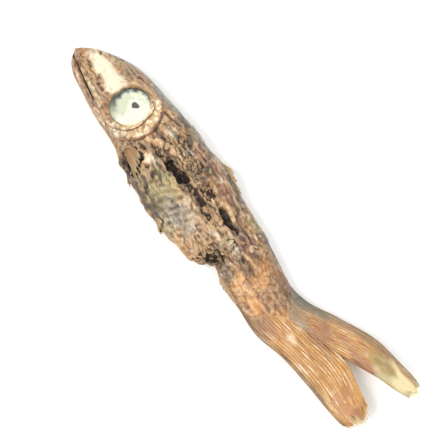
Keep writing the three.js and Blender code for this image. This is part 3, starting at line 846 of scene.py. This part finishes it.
def fin_material(colours):
    """Dried fin rays: amber, greyer at the upper root and paler at the tips."""
    look = Look("fin_look")
    streaks = look.add("CombineXYZ", {"X": look.mask("along", 0.35), "Y": look.mask("over", 4.5)}).outputs[0]
    long_tone = look.noise(streaks, 1.0, 5.0, 0.55)
    fine_tone = look.noise(look.where, 5.0, 4.0, 0.6)
    colour = look.paint(
        colours.amber_dark,
        (look.level(long_tone, 0.32, 0.52), colours.amber),
        (look.level(long_tone, 0.50, 0.72, 0.8), colours.cream),
        (look.mask("web", 0.75), colours.amber_dark),
        (look.mask("rust", 0.6), colours.rust),
        (look.mask("olive", 0.65), colours.olive),
        (look.mask("cream", 0.5), colours.cream),
        (look.mask("grey"), colours.back),
        (look.mask("pale"), colours.tip),
        (look.mask("edge"), colours.bark),
        (look.level(fine_tone, 0.58, 0.74, 0.5), colours.bark),
    )
    surface = {"Base Color": colour, "Roughness": 0.42}
    surface |= coat(0.2, 0.3) | depth_light(0.25, (1.0, 0.55, 0.2), 0.8)
    return look.finish(surface, [(long_tone, 0.12), (fine_tone, 0.05)])


def floor_material(colours):
    """A pale matt table with the faintest tone."""
    look = Look("table_look")
    tone = look.level(look.noise(look.where, 0.02, 2.0, 0.5), 0.3, 0.7, 0.4)
    return look.finish({"Base Color": look.blend(tone, colours.table, (1.0, 1.0, 1.0)), "Roughness": 0.9})


MATERIALS = {
    "dried_skin": skin_material,
    "head_plates": plate_material,
    "eye": eye_material,
    "fins": fin_material,
    "table": floor_material,
}
MADE = {}  # finished materials by their slots


def material_for(slot):
    """The material of a slot, made on first use."""
    if slot not in MADE:
        MADE[slot] = MATERIALS[slot](bpy.context.scene.anchovy_colours)
    return MADE[slot]


# ---- properties


def from_screen(code):
    """Linear colour of a screen colour such as 0x8A6A42."""
    parts = [(code >> shift & 255) / 255 for shift in (16, 8, 0)]
    return [c / 12.92 if c <= 0.04045 else ((c + 0.055) / 1.055) ** 2.4 for c in parts]


def colour_property(name, description, code):
    """A colour with its screen colour as the default."""
    return FloatVectorProperty(
        name=name, description=description, default=from_screen(code), subtype="COLOR", min=0, max=1
    )


def length_property(name, description, millimetres):
    """A length with its default in millimetres."""
    return FloatProperty(
        name=name, description=description, default=millimetres * MM, unit="LENGTH", min=0, precision=5
    )


class AnchovySizes(bpy.types.PropertyGroup):
    """Sizes that change the fish's relief, its small pieces and the camera."""

    eye_radius: length_property("Eye radius", "Radius of the eye and its socket", 2.9)
    cover_lift: length_property("Gill cover lift", "How far the gill cover's rear edge stands off", 0.30)
    wrinkle_height: length_property("Wrinkle height", "Height of the wrinkles along the skin", 0.42)
    lump_height: length_property("Fibre height", "Height of the fibres where skin is torn off", 0.48)
    peel_depth: length_property("Peel depth", "Step from the skin down to the bare flesh", 0.22)
    tear_depth: FloatProperty(
        name="Tear depth", description="Depth of the holes, as a share of the real ones", default=1.0, min=0
    )
    flake_count: IntProperty(name="Flakes", description="Loose flakes of skin", default=150, min=0)
    crumb_count: IntProperty(name="Crumbs", description="Crumbs of dried flesh", default=190, min=0)
    ray_count: IntProperty(name="Tail rays", description="Rays in each lobe of the tail", default=15, min=3)
    azimuth: FloatProperty(
        name="Camera azimuth", description="0 looks along +Y", default=math.radians(55), unit="ROTATION"
    )
    elevation: FloatProperty(
        name="Camera elevation", description="Above the table", default=math.radians(68), unit="ROTATION"
    )


class AnchovyColours(bpy.types.PropertyGroup):
    """Colours of the fish's skin, flesh, bones, eyes and fins, and of the table."""

    flesh: colour_property("Flesh", "Dried flesh under thin skin", 0x9B6F40)
    tan: colour_property("Tan", "Light dried skin", 0xC59D6B)
    bark: colour_property("Bark", "Dark dried skin", 0x4A3320)
    back: colour_property("Back", "Along the back", 0x6E6553)
    slate: colour_property("Slate", "Bluish grey of the back and bone lines", 0x7F7E76)
    rust: colour_property("Rust", "Reddish patches", 0x7E4628)
    olive: colour_property("Olive", "Greenish skin over the gut", 0x877C4C)
    gold: colour_property("Gold", "Orange skin of the rear body", 0xC08443)
    cream: colour_property("Cream", "Bone and skin worn pale", 0xEFE1C3)
    silver: colour_property("Silver", "Worn silver of the flank", 0x9C968A)
    crumb: colour_property("Crumb", "Bare crumbly flesh", 0xB38959)
    # Dark brown of the painted shadow in hollows, cracks and dark patches, and of the real dark specks on
    # the back.
    dark_and_shadow: colour_property("Pit", "Inside cracks and holes", 0x24160D)
    amber: colour_property("Amber", "Tail rays", 0xCC9752)
    amber_dark: colour_property("Dark amber", "Between the tail rays", 0x96602E)
    tip: colour_property("Tip", "Pale fin tips", 0xDDD2A4)
    iris: colour_property("Iris", "Cloudy iris", 0xB4BAA2)
    lens: colour_property("Lens", "Opaque lens", 0xE6E0C6)
    # Green-black of the eye's rim, also used as the painted shadow of the socket on its upper front side.
    eye_rim_and_shadow: colour_property("Eye rim", "Dark rim of the eye", 0x17302B)
    pupil: colour_property("Pupil", "Middle of the eye", 0x3A423E)
    table: colour_property("Table", "The pale table", 0xF7F7F5)


# ---- operators


class MakeBody(bpy.types.Operator):
    """Makes the head and trunk in one skin, with wrinkles, tears and colour masks"""

    bl_idname = "anchovy.make_body"
    bl_label = "Body"

    def execute(self, context):
        grid, _, masks = skin_grid(context.scene.anchovy_sizes)
        make_skin("body", "dried_skin", grid, masks)
        return {"FINISHED"}


def eye_points(radius, side, rows=26, around=72):
    """A shallow dome: lens bulge in the middle, a dip at the iris and a lip at the rim, over a
    rounded back. r runs from the middle over the front to the rim and back underneath."""
    share = np.linspace(0.02, 1, rows)
    bulge = 0.20 * bell(share, 0.34) + 0.10 * bell(share - 0.86, 0.12)
    front = 0.62 * np.sqrt(np.maximum(0, 1 - share**2.6)) + bulge - 0.12
    back_share = np.linspace(0.94, 0.1, 6)
    share = np.concatenate([share, back_share])
    depth = np.concatenate([front, -0.7 * np.sqrt(1 - back_share**2) - 0.12])
    share, turn = crossed(share, whole_turn(around))
    depth = np.repeat(depth[:, None], around, axis=1)
    shift = 0.55 * (1 - share) ** 0.5
    x = EYE_X + radius * share * np.cos(turn) + shift
    y = EYE_Y + radius * share * np.sin(turn) + shift
    spot = xyz(x, y, side * 3.0)
    dried = 0.16 * layered_noise(spot * 0.7, 3, 120) + 0.03 * layered_noise(spot * 3, 2, 130)
    base = flank_height(np.array([EYE_X]), np.array([EYE_Y]))[0] + EYE_PROUD - 0.62
    z = side * (base + depth + dried * (depth > -0.2))
    return xyz(x, y, z), share, turn


class MakeEyes(bpy.types.Operator):
    """Makes both clouded eyes, a little proud of their sockets"""

    bl_idname = "anchovy.make_eyes"
    bl_label = "Eyes"

    def execute(self, context):
        radius = context.scene.anchovy_sizes.eye_radius / MM
        for label, side in SIDES:
            rings, share, turn = eye_points(radius, side)
            # Dark rim of the eye, deepened on its upper front side by a painted shadow of the socket.
            rim_and_socket_shadow = 0.15 + 0.85 * ease(0.5 + 0.8 * np.cos(turn - math.radians(150)))
            milk = ease(0.4 + 0.8 * share * np.cos(turn - math.radians(-5)))
            make_skin(f"{label}_eye", "eye", rings, {"ring": share, "rim_and_socket_shadow": rim_and_socket_shadow, "milk": milk})
        return {"FINISHED"}


def flank_leaf(x, y, side, height, thickness):
    """Front and back points of a thin leaf whose front stands at this height on its flank."""
    faces = xyz(x, y, side * height), xyz(x, y, side * (height - thickness))
    return np.concatenate(faces).reshape(-1, 3)


def plate_shell(side, inner, plate, start, end, lift, ribs, seed, thickness=0.12, rows=44, columns=110):
    """A thin bony plate between the eye's rim and the oval of the plate, over the turns from
    start to end. It stands off the flank by lift at its rim, with faint radiating ribs and a
    chipped edge."""
    share, turn = crossed(np.linspace(0, 1, rows), np.linspace(start, end, columns))
    cx, cy, back, up, down = plate
    place = xyz(turn * 3, seed, 0)
    wobble = 0.030 * layered_noise(place, 3, seed) - 0.10 * np.maximum(0, ridges(place * 2, 3, seed) - 0.7)
    tall = np.where(turn > 0, up, down)
    taper = ease((turn - start) / 1.3) * ease((end - turn) / 0.8)
    out = share * (0.06 + 0.94 * taper)
    x = (1 - out) * (EYE_X + inner * np.cos(turn)) + out * (cx + back * (1 + wobble) * np.cos(turn))
    y = (1 - out) * (EYE_Y + inner * np.sin(turn)) + out * (cy + tall * (1 + wobble) * np.sin(turn))
    spot = xyz(x, y, 3.0 * side)
    rib = np.cos(ribs * turn + 2.6 * noise(spot * 0.5, seed + 1)) * ease(share * 2)
    dent = 0.10 * layered_noise(spot * 0.8, 4, seed + 2)
    height = (lift * ease(share * 1.1) + 0.035 * rib + dent) * taper - 0.12 * (1 - taper)
    height -= 0.14 * ease((share - 0.94) / 0.06) + 0.10 * ease((0.08 - share) / 0.08)
    points = flank_leaf(x, y, side, flank_height(x, y) + 0.04 + height, thickness)
    stain = 0.22 * layered_noise(spot * 0.9, 4, seed + 5)
    rim = ease((share - 0.72 + stain) / 0.20) * ease(0.6 + 0.9 * np.cos(turn - math.radians(20)))
    rim = np.maximum(rim, 0.85 * ease((np.abs(turn - math.radians(-15)) - 1.1 + 2 * stain) / 0.5))
    rim = np.maximum(rim, 0.8 * ease((stain - 0.04) / 0.08))
    groove = ease(-rib * 1.2 - 0.2) * 0.8 + 0.5 * ease((-y - 1.2) / 2.0) * ease((x - 12) / 3)
    values = {"rim": np.tile(rim.ravel(), 2), "groove": np.tile(groove.ravel(), 2)}
    return points, shell_faces(rows, columns), values


class MakeGillCovers(bpy.types.Operator):
    """Makes the cheek plate and the gill cover behind it, on both sides"""

    bl_idname = "anchovy.make_gill_covers"
    bl_label = "Gill covers"

    def execute(self, context):
        sizes = context.scene.anchovy_sizes
        inner = sizes.eye_radius / MM - 0.05
        lift = sizes.cover_lift / MM
        for label, side in SIDES:
            for name, plate, start, end, rise, ribs, seed in (
                ("gill_cover", GILL_COVER, -135, 108, lift, 26, 200),
                ("cheek_plate", CHEEK_PLATE, -185, 84, lift * 1.25, 17, 230),
            ):
                shell = plate_shell(
                    side, inner, plate, math.radians(start), math.radians(end), rise, ribs, seed + side
                )
                make_piece(f"{label}_{name}", "head_plates", *shell)
        return {"FINISHED"}


def jaw_blade(side, line, width_line, lift, seed, thickness=0.26, rows=60, columns=10):
    """A long thin bone along a line of (x, y): its width follows width_line, its middle is
    crowned, and it lies on the flank with its edges turned in."""
    height_at, width_at = smooth_line(line), smooth_line(width_line)
    x, across = crossed(np.linspace(line[0][0], line[-1][0], rows), np.linspace(-1, 1, columns))
    y = height_at(x) + across * width_at(x)
    spot = xyz(x, y, 3.0 * side)
    crown = 0.16 * (1 - across**2) + 0.04 * layered_noise(spot * 1.5, 3, seed)
    points = flank_leaf(x, y, side, flank_height(x, y) + lift + crown, thickness)
    stain = ease((layered_noise(spot * np.array([0.5, 1.5, 1.0]), 4, seed + 5) + 0.10) / 0.25)
    groove = ease((np.abs(across) - 0.5) / 0.4) * 0.6 + 0.4
    values = {"rim": np.tile(0.4 + 0.5 * stain.ravel(), 2), "groove": np.tile(groove.ravel(), 2)}
    return points, shell_faces(rows, columns), values


class MakeJaws(bpy.types.Operator):
    """Makes the upper jaw blades and the slender lower jaw, on both sides"""

    bl_idname = "anchovy.make_jaws"
    bl_label = "Jaws"

    def execute(self, context):
        for label, side in SIDES:
            for name, (line, widths, lift, seed) in JAWS.items():
                blade = jaw_blade(side, line, widths, lift, seed + side)
                make_piece(f"{label}_{name}", "head_plates", *blade)
        return {"FINISHED"}


def lobe_surface(line, wave, x, across):
    """Middle surface of a tail lobe at x and across, and its half thickness there."""
    y = smooth_line(line, 1)(x) + across * smooth_line(line, 2)(x)
    curl = wave * np.sin(1.9 * across + 0.35 * x) * ease((x - 50) / 10)
    thick = smooth_line(line, 3)(x) * np.sqrt(np.maximum(0, 1 - across**2))
    return y, curl, thick


def lobe_web(line, wave, seed, rows=150, around=64):
    """The dried web of a tail lobe: a flattened tube along it, ribbed along the rays, whose end
    is drawn in unevenly."""
    start, end = line[0][0], line[-1][0] - 0.9
    x, turn = crossed(np.linspace(start + 0.3, end, rows), whole_turn(around))
    across = np.cos(turn)
    share = (x - start) / (end - start)
    uneven = 0.5 + 0.5 * noise(xyz(across * 3.2, seed, 0), seed)
    x = x - ease((share - 0.75) / 0.25) * 1.6 * uneven
    y, curl, thick = lobe_surface(line, wave, x, across)
    spot = xyz(x * 0.25, y * 1.6, np.sign(np.sin(turn)))
    rib = 0.10 * ridges(spot, 3, seed + 2) + 0.05 * layered_noise(xyz(x, y, 0) * 1.6, 3, seed)
    z = curl + np.sin(turn) * (0.82 * thick / np.maximum(np.abs(np.sin(turn)), 1e-3) + rib * (1 - across**4))
    return xyz(x, y, z)


class MakeTail(bpy.types.Operator):
    """Makes both lobes of the forked tail: a dried web, and rays that end in a ragged fringe"""

    bl_idname = "anchovy.make_tail"
    bl_label = "Tail fin"

    def execute(self, context):
        count = context.scene.anchovy_sizes.ray_count
        for name, line, seed in (("upper", UPPER_LOBE, 300), ("lower", LOWER_LOBE, 330)):
            wave = LOBE_WAVE[name]
            web = lobe_web(line, wave, seed)
            values = lobe_values(name, web[..., 0], web[..., 1], line)
            values["web"] = np.ones(web.shape[:2])
            make_skin(f"{name}_tail_web", "fins", web, values)
            make_piece(f"{name}_tail_rays", "fins", *lobe_rays(name, line, wave, count, seed))
        return {"FINISHED"}


def lobe_values(name, x, y, line):
    """Colour masks of a lobe: grey at the upper root, pale at the tips, dark on the outer edge."""
    start, end = 46.0, line[-1][0]
    share = (x - start) / (end - start)
    across = (y - smooth_line(line, 1)(x)) / smooth_line(line, 2)(x)
    outer = across if name == "upper" else -across
    grain = layered_noise(xyz(x * 0.4, y * 1.5, 0), 3, 350)
    if name == "upper":
        grey = ease((0.42 - share) / 0.3 + 0.6 * grain) * 0.7 + 0.5 * ease((outer - 0.35) / 0.4)
        pale = ease((share - 0.72 + 0.2 * grain) / 0.2) * 0.75
        edge = ease((outer - 0.82) / 0.15) * 0.6 + ease((-outer - 0.7 + 0.3 * grain) / 0.3) * 0.35
    else:
        grey = ease((0.16 - share) / 0.1) * 0.3
        pale = ease((share - 0.9 + 0.12 * grain) / 0.1) * 0.6
        edge = ease((outer - 0.72 + 0.2 * grain) / 0.25) * 0.8
    masks = {key: np.clip(mask, 0, 1) for key, mask in (("grey", grey), ("pale", pale), ("edge", edge))}
    for key, spots in LOBE_PATCHES.items():
        total = sum(s * oval(x, y, cx, cy, rx, ry) for cx, cy, rx, ry, s in spots)
        masks[key] = ease((total + 0.5 * grain - 0.35) / 0.5)
    return {**masks, "along": x + 40 * (name == "upper"), "over": across * 2.5}


def lobe_rays(name, line, wave, count, seed, steps=44, sides=6):
    """Rays of a lobe: flattened tapering tubes side by side on both faces. Each follows its own
    place across the lobe, parts into two past its middle and ends where chance breaks it."""
    chance = np.random.default_rng(seed)
    place = np.linspace(-0.92, 0.92, count) + chance.uniform(-0.25, 0.25, count) / count
    place = np.concatenate([place, place + 0.4 / count])
    place, fork = np.repeat(place, 2), np.tile([-1.0, 1.0], 2 * count)
    face = np.repeat([1.0, -1.0], 2 * count)[:, None]
    start = np.repeat(46.5 + chance.uniform(0, 1.5, 2 * count), 2)
    reach = line[-1][0] - 0.25 - chance.uniform(0, 1.0, 4 * count) - 1.0 * place**2
    share = np.linspace(0, 1, steps)
    x = start[:, None] + (reach - start)[:, None] * share
    parting = np.repeat(chance.uniform(0.35, 0.6, 2 * count), 2)[:, None]
    across = place[:, None] + fork[:, None] * ease((share - parting) / 0.4) * 0.50 / count
    across = np.clip(across + 0.012 * np.sin(x * 1.3 + 9 * place[:, None]), -0.97, 0.97)
    y, curl, thick = lobe_surface(line, wave, x, across)
    width = smooth_line(line, 2)(x) / count
    radii = width * (0.80 - 0.38 * ease((share - parting) / 0.4)) * chance.uniform(0.8, 1.1, (4 * count, 1))
    radii = radii * (1 + 0.10 * np.cos(x * 7.0) * ease((share - 0.3) / 0.3))
    radii[:, -3:] *= np.array([0.95, 0.8, 0.5])
    uneven = 0.03 * noise(xyz(x, place[:, None] * 30, 0), seed)
    z = curl + face * (0.80 * thick + 0.02 + uneven)
    points, faces = tubes(xyz(x, y, z), radii, sides, flat=0.75)
    values = lobe_values(name, x, y, line)
    return points, faces, {key: per_tube(v, sides) for key, v in values.items()}


def settled(paths, run, share, paired):
    """The rays of a paired fin (count, steps, 3) spread a little and lie down on the flank."""
    if not paired:
        return paths
    x, y, z = np.moveaxis(paths, -1, 0)
    y = y + 0.9 * (share[:, None] - 0.5) * np.maximum(run, 0)[None]
    side = np.sign(z.mean())
    lying = side * (flank_height(x, y) + 0.14)
    z = z + (lying - z) * ease(np.maximum(run, 0) * 2.2)[None]
    return xyz(x, y, z)


def fan(root_start, root_end, sweep, count, seed, paired, steps=16, web_steps=14, sides=6):
    """A folded fin: rays from a root line, each shorter than the last, with a thin torn web
    between them. A ray bends back along the sweep."""
    chance = np.random.default_rng(seed)
    share = np.linspace(0, 1, count)
    root = np.array(root_start) + share[:, None] * (np.array(root_end) - np.array(root_start))
    length = (1 - 0.45 * share) * chance.uniform(0.8, 1.0, count)
    run = np.linspace(-0.12, 1, steps)
    lean = np.array(sweep)
    droop = xyz(run, np.sign(run) * np.abs(run) ** 1.25, run)
    paths = root[:, None] + droop[None] * lean * length[:, None, None]
    paths = paths + chance.normal(0, 0.02, (count, 1, 3)) + 0.03 * np.sin(run * 5)[None, :, None]
    paths = settled(paths, run, share, paired)
    radii = np.linspace(0.085, 0.04, steps)[None] * chance.uniform(0.8, 1.2, (count, 1))
    points, faces = tubes(paths, radii, sides, flat=0.8)
    edge = np.clip(0.9 + 0.12 * np.sin(2.1 * np.arange(count)) + chance.normal(0, 0.04, count), 0.5, 1)
    web_run = np.linspace(-0.1, 1, web_steps)
    web = root[:, None] + (web_run[None, :, None] * edge[:, None, None]) * lean * length[:, None, None]
    web = settled(web, web_run, share, paired)
    thin_axis = np.array([0, 0, 1] if abs(sweep[1]) > abs(sweep[2]) else [0, 1, 0])
    sag = 0.03 * (np.arange(count) % 2)[:, None, None] * thin_axis
    leaf = np.concatenate([web + 0.05 * thin_axis + sag, web - 0.05 * thin_axis + sag]).reshape(-1, 3)
    faces = faces + shell_faces(count, web_steps, len(points))
    spread = per_tube(np.repeat(run[None], count, axis=0), sides)
    along = np.clip(np.concatenate([spread, np.tile(web_run, 2 * count)]), 0, 1)
    return np.concatenate([points, leaf]), faces, along


class MakeFins(bpy.types.Operator):
    """Makes the small fins, folded back on the body"""

    bl_idname = "anchovy.make_fins"
    bl_label = "Small fins"

    def execute(self, context):
        for number, (name, (start, end, sweep, count)) in enumerate(FINS.items()):
            paired = name.startswith(("left", "right"))
            points, faces, along = fan(start, end, sweep, count, FIN_SEED + number, paired)
            values = {key: np.full(len(along), amount) for key, amount in FIN_TONES.items()}
            values["pale"] = 0.3 * ease((along - 0.5) / 0.5)
            values |= {"along": along * 4 + 9 * number, "over": points[:, 1]}
            make_piece(name, "fins", points, faces, values)
        return {"FINISHED"}


def scattered(grid, normal, weight, count, seed):
    """Places on the skin, drawn by weight: their points, normals, and directions along the fish."""
    chance = np.random.default_rng(seed)
    odds = weight.ravel() / weight.sum()
    picks = chance.choice(weight.size, count, replace=False, p=odds)
    along = unit(np.gradient(grid, axis=0)).reshape(-1, 3)[picks]
    return grid.reshape(-1, 3)[picks], normal.reshape(-1, 3)[picks], along, chance, picks


def masks_at(masks, picks, size):
    """The skin's masks at the picked places, repeated for the size points of each small piece."""
    under = {name: np.repeat(mask.ravel()[picks], size) for name, mask in masks.items()}
    # Flakes and crumbs stand off the skin, so they take only a little of its painted shadow and dark
    # streaks.
    for name in ("dark_and_shadow", "shadow_and_blotch", "dark"):
        under[name] = under[name] * 0.3
    return under


class MakeFlakes(bpy.types.Operator):
    """Makes the loose flakes of skin that stand off the flanks"""

    bl_idname = "anchovy.make_flakes"
    bl_label = "Skin flakes"

    def execute(self, context):
        sizes = context.scene.anchovy_sizes
        grid, normal, masks = skin_grid(sizes)
        x = grid[..., 0]
        border = masks["bare"] * (1 - masks["bare"]) * 4 + 0.15
        flank = ease(np.abs(normal[..., 2]) * 2.6 - 1.6)
        weight = border * ease((x - LOOSE_FROM) / 2) * ease((48 - x) / 5) * flank + 1e-9
        spot, out, along, chance, picks = scattered(grid, normal, weight, sizes.flake_count, SEED)
        turn = chance.normal(0, 0.5, len(spot))[:, None]
        side = np.cross(out, along)
        ahead = along * np.cos(turn) + side * np.sin(turn)
        beside = np.cross(out, ahead)
        rows, columns = 7, 5
        u, v = crossed(np.linspace(-1, 1, rows), np.linspace(-1, 1, columns))
        length = (0.18 + 0.5 * chance.random(len(spot)) ** 1.6)[:, None, None]
        width = length * chance.uniform(0.35, 0.7, len(spot))[:, None, None]
        curl = chance.uniform(0.05, 0.35, len(spot))[:, None, None] * length
        ragged_edge = 1 + chance.uniform(-0.25, 0.2, (len(spot), rows, columns))
        taper = 1 - 0.85 * np.abs(u) ** chance.uniform(1.2, 3.0, len(spot))[:, None, None]
        lift = 0.02 + curl * ((u + 1) / 2) ** 2 + 0.02 * v**2
        middle = spot[:, None, None] + (u * length * ragged_edge)[..., None] * ahead[:, None, None]
        middle = middle + (v * width * taper * ragged_edge)[..., None] * beside[:, None, None]
        front = middle + (lift + 0.02)[..., None] * out[:, None, None]
        back = middle + (lift - 0.02)[..., None] * out[:, None, None]
        points = np.concatenate([front.reshape(len(spot), -1, 3), back.reshape(len(spot), -1, 3)], axis=1)
        size = points.shape[1]
        faces = [f for k in range(len(spot)) for f in shell_faces(rows, columns, k * size)]
        pale = np.repeat(chance.random(len(spot)), size)
        values = masks_at(masks, picks, size)
        values["bare"] *= 0
        values["silver"] = np.maximum(values["silver"], ease((pale - 0.75) / 0.3) * 0.6)
        values["light"] = np.maximum(values["light"], 0.8 * pale)
        make_piece("skin_flakes", "dried_skin", points.reshape(-1, 3), faces, values)
        return {"FINISHED"}


class MakeCrumbs(bpy.types.Operator):
    """Makes the crumbs of dried flesh in the torn places"""

    bl_idname = "anchovy.make_crumbs"
    bl_label = "Crumbs"

    def execute(self, context):
        sizes = context.scene.anchovy_sizes
        grid, normal, masks = skin_grid(sizes)
        weight = masks["bare"] ** 2 * ease((grid[..., 0] - LOOSE_FROM) / 2) + 1e-9
        spot, out, along, chance, picks = scattered(grid, normal, weight, sizes.crumb_count, SEED + 1)
        count = len(spot)
        rows, around = 5, 7
        tilt, turn = crossed(np.linspace(0.25, math.pi - 0.25, rows), whole_turn(around))
        ball = xyz(np.sin(tilt) * np.cos(turn), np.sin(tilt) * np.sin(turn), np.cos(tilt))
        rough = 1 + chance.uniform(-0.35, 0.3, (count, *tilt.shape, 1))
        stretch = chance.uniform(0.08, 0.26, (count, 1, 1, 3)) * np.array([2.4, 0.9, 0.6])
        local = ball[None] * rough * stretch
        beside = np.cross(out, along)
        frame_axes = np.stack([along, beside, out], axis=1)
        rings = np.einsum("nijk,nkl->nijl", local, frame_axes) + spot[:, None, None]
        start, end = rings[:, 0].mean(axis=1)[:, None], rings[:, -1].mean(axis=1)[:, None]
        points = np.concatenate([start, rings.reshape(count, -1, 3), end], axis=1)
        size = points.shape[1]
        faces = [f for k in range(count) for f in ring_faces(rows, around, k * size)]
        tone = np.repeat(chance.random(count), size)
        values = masks_at(masks, picks, size)
        values["light"] = np.maximum(values["light"], ease((tone - 0.5) / 0.3))
        make_piece("flesh_crumbs", "dried_skin", points.reshape(-1, 3), faces, values)
        return {"FINISHED"}


def direction(azimuth, elevation):
    """Unit vector at these angles; azimuth 0 points to -Y."""
    level = math.cos(elevation)
    return Vector((math.sin(azimuth) * level, -math.cos(azimuth) * level, math.sin(elevation)))


def area_light(name, place, target, energy, size, colour):
    """A square lamp at place that faces the target."""
    lamp = bpy.data.lights.new(name, "AREA")
    lamp.energy, lamp.size, lamp.color = energy, size, colour
    holder = bpy.data.objects.new(name, lamp)
    holder.location = place
    holder.rotation_euler = (target - place).to_track_quat("-Z", "Y").to_euler()
    bpy.context.scene.collection.objects.link(holder)


TABLE_REACH = 1.2
CAMERA_DISTANCE = 0.165
SKY_STRENGTH = 0.66
# Lamps: name, azimuth from the camera's, elevation, distance in metres, energy, size, colour.
LAMPS = [
    ("key", -60, 50, 0.5, 2.4, 0.28, (1.0, 0.98, 0.95)),
    ("fill", 75, 45, 0.6, 0.8, 0.5, (0.96, 0.98, 1.0)),
    ("rim", 170, 35, 0.5, 0.75, 0.3, (1.0, 1.0, 1.0)),
    ("glint", 52, 48, 0.5, 0.35, 0.07, (1.0, 1.0, 1.0)),
]


class MakeStage(bpy.types.Operator):
    """Makes the pale table, the soft studio light and the camera"""

    bl_idname = "anchovy.make_stage"
    bl_label = "Stage"

    def execute(self, context):
        sizes = context.scene.anchovy_sizes
        mesh = bpy.data.meshes.new("table")
        corners = [(x * TABLE_REACH, y * TABLE_REACH, 0) for x, y in ((-1, -1), (1, -1), (1, 1), (-1, 1))]
        mesh.from_pydata(corners, [], [(0, 1, 2, 3)])
        mesh.materials.append(material_for("table"))
        table = bpy.data.objects.new("table", mesh)
        context.scene.collection.objects.link(table)

        middle = (cad_low + cad_high) / 2
        camera = bpy.data.cameras.new("camera")
        camera.lens = 100
        camera.clip_start = 0.01
        holder = bpy.data.objects.new("camera", camera)
        back = direction(sizes.azimuth, sizes.elevation)
        holder.location = middle + back * CAMERA_DISTANCE
        holder.rotation_euler = back.to_track_quat("Z", "Y").to_euler()
        context.scene.collection.objects.link(holder)
        context.scene.camera = holder

        for name, azimuth, elevation, distance, energy, size, colour in LAMPS:
            toward = direction(sizes.azimuth + math.radians(azimuth), math.radians(elevation))
            area_light(name, toward * distance + middle, middle, energy, size, colour)
        world = bpy.data.worlds.new("studio")
        world.use_nodes = True
        sky = world.node_tree.nodes["Background"]
        sky.inputs["Color"].default_value = (1, 1, 1, 1)
        sky.inputs["Strength"].default_value = SKY_STRENGTH
        context.scene.world = world
        context.scene.view_settings.view_transform = "Standard"
        return {"FINISHED"}


class AnchovyPanel(bpy.types.Panel):
    """Lists the fish's pieces, sizes and colours"""

    bl_idname = "VIEW3D_PT_anchovy"
    bl_label = "Dried anchovy"
    bl_space_type = "VIEW_3D"
    bl_region_type = "UI"
    bl_category = "Anchovy"

    def draw(self, context):
        for step in STEPS:
            self.layout.operator(step.bl_idname)
        for group in (context.scene.anchovy_sizes, context.scene.anchovy_colours):
            box = self.layout.box()
            for name in group.__annotations__:
                box.prop(group, name)


STEPS = (
    MakeBody, MakeEyes, MakeGillCovers, MakeJaws, MakeTail, MakeFins, MakeFlakes, MakeCrumbs, MakeStage,
)
CLASSES = (AnchovySizes, AnchovyColours, *STEPS, AnchovyPanel)


def register():
    """Makes the classes known, and hangs both property groups on the scene."""
    for cls in CLASSES:
        bpy.utils.register_class(cls)
    bpy.types.Scene.anchovy_sizes = PointerProperty(type=AnchovySizes)
    bpy.types.Scene.anchovy_colours = PointerProperty(type=AnchovyColours)


def unregister():
    """Undoes register."""
    del bpy.types.Scene.anchovy_sizes
    del bpy.types.Scene.anchovy_colours
    for cls in reversed(CLASSES):
        bpy.utils.unregister_class(cls)


def main():
    """Builds the fish and its stage."""
    register()
    for step in STEPS:
        group, name = step.bl_idname.split(".")
        getattr(getattr(bpy.ops, group), name)()


if __name__ == "__main__":
    main()
